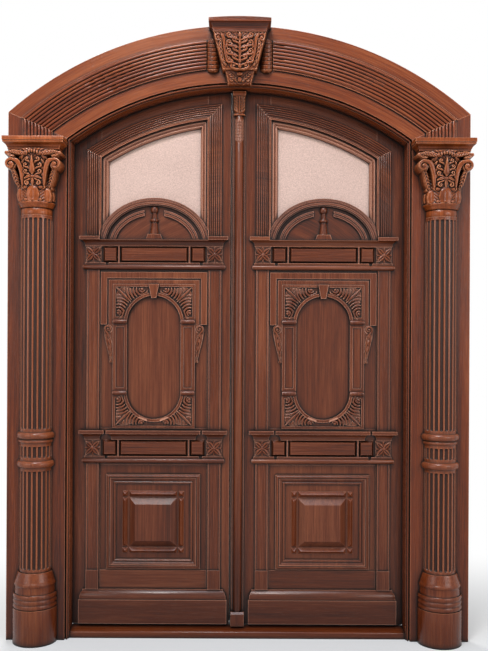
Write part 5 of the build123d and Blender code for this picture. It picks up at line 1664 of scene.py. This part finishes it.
@dataclass
class LeafMouldings:
    """Fine mouldings of one leaf: the lower panel's surround and the beads round the glass.

    Sizes are in mm. A bead is its inset, depth and radius.
    """

    side: Side
    leaf_axis: float = LEAF_AXIS
    lower_half: float = 228.8
    lower_foot: float = 314.2
    lower_head: float = 775.8
    lower_section: Profile = (
        (0.0, 3.9),
        (0.0, -6.5),
        (4.0, -7.2),
        (5.0, -9.5),
        (8.0, -12.2),
        (11.5, -12.9),
        (14.5, -11.6),
        (16.0, -8.0),
        (17.5, -8.0),
        (18.5, -11.2),
        (24.0, -8.8),
        (30.0, -4.8),
        (35.0, -2.6),
        (36.0, -4.6),
        (38.5, -6.4),
        (42.0, -6.6),
        (44.5, -5.0),
        (46.0, -2.0),
        (47.6, -1.2),
        (47.6, 3.9),
    )
    window_half: float = 329.0
    window_foot: float = 1936.0
    arch_centre: float = ARCH_CENTRE
    arch_radius: float = 1318.0
    arch_steps: int = 48
    beads: tuple[Place, ...] = ((80.0, -2.0, 4.2), (96.0, 3.0, 4.6))
    bead_steps: int = 9
    bead_root: float = 9.0

    def _rectangle(self, inset: float) -> np.ndarray:
        """Find the corners of the lower surround.

        Args:
            inset: how far inside its outer edge they lie.

        Returns:
            The (across, up) points.
        """
        axis, half = self.side.value * self.leaf_axis, self.lower_half - inset
        foot, head = self.lower_foot + inset, self.lower_head - inset
        return np.array([(axis - half, foot), (axis + half, foot), (axis + half, head), (axis - half, head)])

    def _window(self, inset: float) -> np.ndarray:
        """Find the line of the window's arched surround.

        Args:
            inset: how far inside its outer edge the line lies.

        Returns:
            The (across, up) points, from foot to foot.
        """
        axis, half = self.side.value * self.leaf_axis, self.window_half - inset
        x = np.linspace(axis - half, axis + half, self.arch_steps + 1)
        z = self.arch_centre + np.sqrt((self.arch_radius - inset) ** 2 - x**2)
        line = np.stack([x, z], 1)
        return np.vstack([(axis - half, self.window_foot), line, (axis + half, self.window_foot)])

    def build(self, dresser: Dresser) -> None:
        """Make the surround, which stands for the plain one, and the beads.

        Args:
            dresser: gives the finish and places the pieces.
        """
        word = self.side.word
        surround, beads = Shape(), Shape()
        surround.swept(self._rectangle, self.lower_section, True)
        piece = surround.build(f"panel_moulding_{word}", dresser.wood(Finish.LEAF), 24.0)
        dresser.place(piece, f"leaf_{word}", f"lower_surround_{word}")
        for inset, depth, radius in self.beads:
            turns = np.linspace(0, math.pi, self.bead_steps)
            nose = [(inset - radius * math.cos(turn), depth - radius * math.sin(turn)) for turn in turns]
            root = depth + self.bead_root
            beads.swept(self._window, [(nose[0][0], root), *nose, (nose[-1][0], root)], False)
        piece = beads.build(f"glass_beads_{word}", dresser.wood(Finish.LEAF), 40.0)
        dresser.place(piece, f"leaf_{word}", slot="leaf_wood")


@dataclass
class PanelRods:
    """Roof-shaped rods and pointed bosses round the raised panel of one leaf. Sizes are in mm."""

    side: Side
    leaf_axis: float = LEAF_AXIS
    middle: float = 541.5
    across: float = 137.0
    up: float = 138.5
    rod_half: float = 13.4
    long_half: tuple[float, float] = (117.0, 118.5)
    ground: float = 3.9
    rise: float = 14.8

    def build(self, dresser: Dresser) -> None:
        """Make the rods and bosses, which stand for the plain ones.

        Args:
            dresser: gives the finish and places the piece.
        """
        word = self.side.word
        axis = self.side.value * self.leaf_axis
        long_across, long_up = self.long_half
        parts = []
        for way in (-1, 1):
            parts.append(((axis + way * self.across, self.middle), (self.rod_half, long_up)))
            parts.append(((axis, self.middle + way * self.up), (long_across, self.rod_half)))
            for rise in (-1, 1):
                corner = (axis + way * self.across, self.middle + rise * self.up)
                parts.append((corner, (self.rod_half, self.rod_half)))
        shape = Shape()
        for middle, half in parts:
            shape.hipped(middle, half, self.ground, self.rise)
        piece = shape.build(f"roof_rods_{word}", dresser.wood(Finish.RELIEF), 20.0)
        dresser.place(piece, f"leaf_{word}", f"panel_rods_{word}")


@dataclass
class LeafCarving:
    """Carving of one door leaf: spandrel foliage, frieze rosettes and side scrolls. Sizes are in mm.

    A zone is the height of a pair of spandrels and the way that they are turned.
    """

    side: Side
    leaf_axis: float = LEAF_AXIS
    arcade_half: float = 200.0
    zones: tuple[tuple[float, int], ...] = ((1704.0, 1), (1001.0, -1))
    floor: float = -3.0
    frieze_heights: tuple[float, float] = (905.0, 1849.0)
    block_reach: float = 295.5
    block_front: float = -11.0
    scroll_reach: float = 222.0
    scroll_eye: float = 1485.0
    scroll_front: float = -8.0
    sunk: float = 0.3
    curl: tuple[float, float] = (141.0, -26.0)
    rib_pitch: float = 15.0
    rib_half: float = 4.6
    rib_reach: float = 115.0
    arch_drop: float = 194.0
    arch_reach: float = 156.0
    spandrel_stem: Stroke = ((18, -18, 2.5, 7), (44, -44, 5.5, 9), (70, -69, 5.5, 9), (88, -86, 2, 6))
    petal: Profile = ((3, 5), (12, 11), (22, 12), (32, 9), (43, 3))
    sepal: Profile = ((14, 2), (25, 5), (35, 2.5))
    tail: Stroke = (
        (-14, -158, 2.5, 1.2),
        (-13, -138, 5, 1.6),
        (-9, -104, 9, 2),
        (-2, -62, 12, 2),
        (4, -30, 9, 2),
    )

    def spandrel(self) -> Carving:
        """Carve two combed leaves that part from a diagonal stem, each nested round its curl.

        Returns:
            The spandrel's front, measured from the corner of the arcade.
        """
        carving = Carving(13.0, 172.0, -172.0, -13.0, 1.0)
        across, up = self.curl
        turn = np.radians(np.linspace(160, 345, 38))
        for radius in np.arange(self.rib_pitch * 0.8, self.rib_reach, self.rib_pitch):
            x, z = across + radius * np.cos(turn), up + radius * np.sin(turn)
            clear = np.hypot(x - self.arcade_half, z + self.arch_drop) > self.arch_reach
            kept = (z < -18) & clear & (x + z > 10) & (x < 168)
            if kept.sum() < 4:
                continue
            x, z = x[kept], z[kept]
            width = 1.2 + self.rib_half * np.sin(math.pi * np.linspace(0.05, 1, len(x))) ** 0.6
            rib = [(a, b, w, 5.5) for a, b, w in zip(x, z, width)]
            carving.stroke(rib, 6.0)
            carving.stroke([(-b, -a, w, d) for a, b, w, d in rib], 6.0)
        carving.stroke(self.spandrel_stem, 6.0)
        for x, z in (self.curl, (-up, -across)):
            carving.dome(x, z, (7, 7), 8.0, 5.0)
        return carving

    def rosette(self) -> Carving:
        """Carve four leaves round a button.

        Returns:
            The rosette's front, measured from its middle.
        """
        carving = Carving(-37.0, 37.0, -39.0, 39.0, 0.8)
        for number in range(4):
            turn = math.pi / 4 + number * math.pi / 2
            dx, dz = math.cos(turn), math.sin(turn)
            carving.stroke([(r * dx, r * dz, w, 7.0) for r, w in self.petal], 7.0, vein=5.0)
            dx, dz = math.cos(turn + math.pi / 4), math.sin(turn + math.pi / 4)
            carving.stroke([(r * dx, r * dz, w, 2.0) for r, w in self.sepal], 4.0)
        carving.dome(0, 0, (8, 8), 10.0, 5.0)
        return carving

    def side_scroll(self) -> Carving:
        """Carve a spiral eye with a leaf tail that thins downwards.

        Returns:
            The scroll's front, measured from its eye.
        """
        carving = Carving(-24.0, 24.0, -164.0, 24.0, 0.9)
        carving.stroke(self.tail, 8.0, 4.5, 4.0, 2.0)
        carving.scroll((0, 0), 17.5, 1.35, -70.0, 5.2, 3.0, 7.0, [(-4, -34, 4, 3), (4, -22, 5, 3)])
        carving.dome(-13, -158, (5, 5), 2.0, 4.0)
        return carving

    def build(self, dresser: Dresser) -> None:
        """Make the carving and let it ride on its leaf.

        Args:
            dresser: gives the finish and places the pieces.
        """
        axis = self.side.value * self.leaf_axis
        spandrels, rosettes, scrolls = Shape(), Shape(), Shape()
        fan, flower, curl = self.spandrel(), self.rosette(), self.side_scroll()
        floor, block, pilaster = (
            front + self.sunk for front in (self.floor, self.block_front, self.scroll_front)
        )
        for half in (-1, 1):
            for level, turn in self.zones:
                fan.into(spandrels, axis + half * self.arcade_half, floor, level, -half, turn)
            for level in self.frieze_heights:
                flower.into(rosettes, axis + half * self.block_reach, block, level)
            curl.into(scrolls, axis + half * self.scroll_reach, pilaster, self.scroll_eye, half)
        pieces = {"spandrel_leaves": spandrels, "frieze_rosettes": rosettes, "side_scrolls": scrolls}
        for name, shape in pieces.items():
            piece = shape.build(f"{name}_{self.side.word}", dresser.wood(Finish.RELIEF))
            dresser.place(piece, f"leaf_{self.side.word}", slot="carved_wood")


@dataclass(frozen=True)
class Lamp:
    """One square soft lamp. Places and its size are in metres, its power is in watts."""

    name: str
    place: Place
    target: Place
    size: float
    power: float
    colour: Colour = (1.0, 0.97, 0.94)

    def build(self) -> None:
        """Add the lamp, aimed at its target."""
        data = bpy.data.lights.new(self.name, "AREA")
        data.size = self.size
        data.energy = self.power
        data.color = self.colour
        lamp = bpy.data.objects.new(self.name, data)
        lamp.location = self.place
        aim = Vector(self.target) - Vector(self.place)
        lamp.rotation_euler = aim.to_track_quat("-Z", "Y").to_euler()
        bpy.context.scene.collection.objects.link(lamp)


@dataclass
class Studio:
    """Pale floor, white surroundings, soft lamps and the camera. Sizes are in metres, the lens in mm."""

    floor_half: float = 14.0
    floor_grey: float = 0.62
    shadow_reach: Range = (0.35, 1.9)
    shadow_width: float = 0.35
    floor_glow: tuple[float, float] = (0.15, 0.85)
    camera_place: Place = (0.0, -3.907, 1.385)
    lens: float = 44.16
    sensor: float = 36.0
    shift: tuple[float, float] = (0.0086, 0.0376)
    roll_degrees: float = -0.28
    world_light: float = 0.20
    world_colour: Colour = (0.93, 0.96, 1.0)
    white: Colour = (1.0, 1.0, 1.0)
    lamps: tuple[Lamp, ...] = (
        Lamp("key", (-0.9, -3.5, 5.8), (0.0, 0.0, 2.0), 1.3, 205.0),
        Lamp("fill", (3.6, -3.6, 2.5), (0.0, 0.0, 2.0), 2.4, 88.0),
        Lamp("left_fill", (-3.6, -3.6, 2.3), (0.0, 0.0, 2.1), 2.4, 50.0),
        Lamp("sky", (0.0, -1.3, 5.4), (0.0, -0.5, 1.8), 2.6, 130.0, (0.72, 0.86, 1.0)),
        Lamp("room", (-1.8, 4.4, 4.8), (0.0, 0.0, 1.4), 2.8, 240.0),
    )

    def build(self) -> None:
        """Make the stage, the lamps and the camera."""
        self._surroundings()
        self._floor()
        for lamp in self.lamps:
            lamp.build()
        self._camera()
        bpy.context.scene.view_settings.view_transform = "Standard"

    def _surroundings(self) -> None:
        """White to the camera and in reflections, softer as a light."""
        graph = Graph("surroundings", world=True)
        inputs = {"Color": self.world_colour, "Strength": self.world_light}
        light = graph.node("ShaderNodeBackground", {}, inputs)
        white = graph.node("ShaderNodeBackground", {}, {"Color": self.white, "Strength": 1.0})
        inputs = {0: graph.seen(), 1: light.outputs[0], 2: white.outputs[0]}
        bpy.context.scene.world = graph.surface(graph.node("ShaderNodeMixShader", {}, inputs))

    def _floor(self) -> None:
        """Pale floor that keeps the shadow near the door and fades to white."""
        graph = Graph("pale_floor")
        x, y, _ = graph.place()
        away = (x * x * self.shadow_width + y * y).root().ramp(*self.shadow_reach)
        grey = (self.floor_grey, self.floor_grey, self.floor_grey)
        matt = graph.node("ShaderNodeBsdfDiffuse", {}, {"Color": grey})
        white = graph.node("ShaderNodeEmission", {}, {"Color": self.white, "Strength": 1.0})
        least, more = self.floor_glow
        shown = (away * more + least) * graph.seen()
        inputs = {0: shown, 1: matt.outputs[0], 2: white.outputs[0]}
        reach = self.floor_half
        corners = [(-reach, -reach, 0.0), (reach, -reach, 0.0), (reach, reach, 0.0), (-reach, reach, 0.0)]
        mesh = bpy.data.meshes.new("floor")
        mesh.from_pydata(corners, [], [(0, 1, 2, 3)])
        mesh.materials.append(graph.surface(graph.node("ShaderNodeMixShader", {}, inputs)))
        floor = bpy.data.objects.new("floor", mesh)
        bpy.context.scene.collection.objects.link(floor)

    def _camera(self) -> None:
        """Place the camera where the photograph was taken from."""
        data = bpy.data.cameras.new("camera")
        data.lens = self.lens
        data.sensor_width = self.sensor
        data.sensor_fit = "AUTO"
        data.shift_x, data.shift_y = self.shift
        data.clip_end = 100.0
        camera = bpy.data.objects.new("camera", data)
        camera.location = self.camera_place
        camera.rotation_euler = Euler((math.radians(90), math.radians(self.roll_degrees), 0.0), "XYZ")
        bpy.context.scene.collection.objects.link(camera)
        bpy.context.scene.camera = camera


def main() -> None:
    """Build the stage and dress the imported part."""
    logging.basicConfig(level=logging.INFO, format="%(name)s %(message)s")
    for leftover in list(bpy.data.objects):
        bpy.data.objects.remove(leftover)
    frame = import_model()
    Studio().build()
    dresser = Dresser(frame)
    dresser.dress()
    LOG.info("dressed %d nodes", len(frame["nodes"]))
    for side in Side:
        for assembly in (Column, Capital, LeafMouldings, PanelRods, LeafCarving):
            assembly(side).build(dresser)
    for assembly in (Keystone, Astragal, MeetingStrip):
        assembly().build(dresser)


if __name__ == "__main__":
    main()
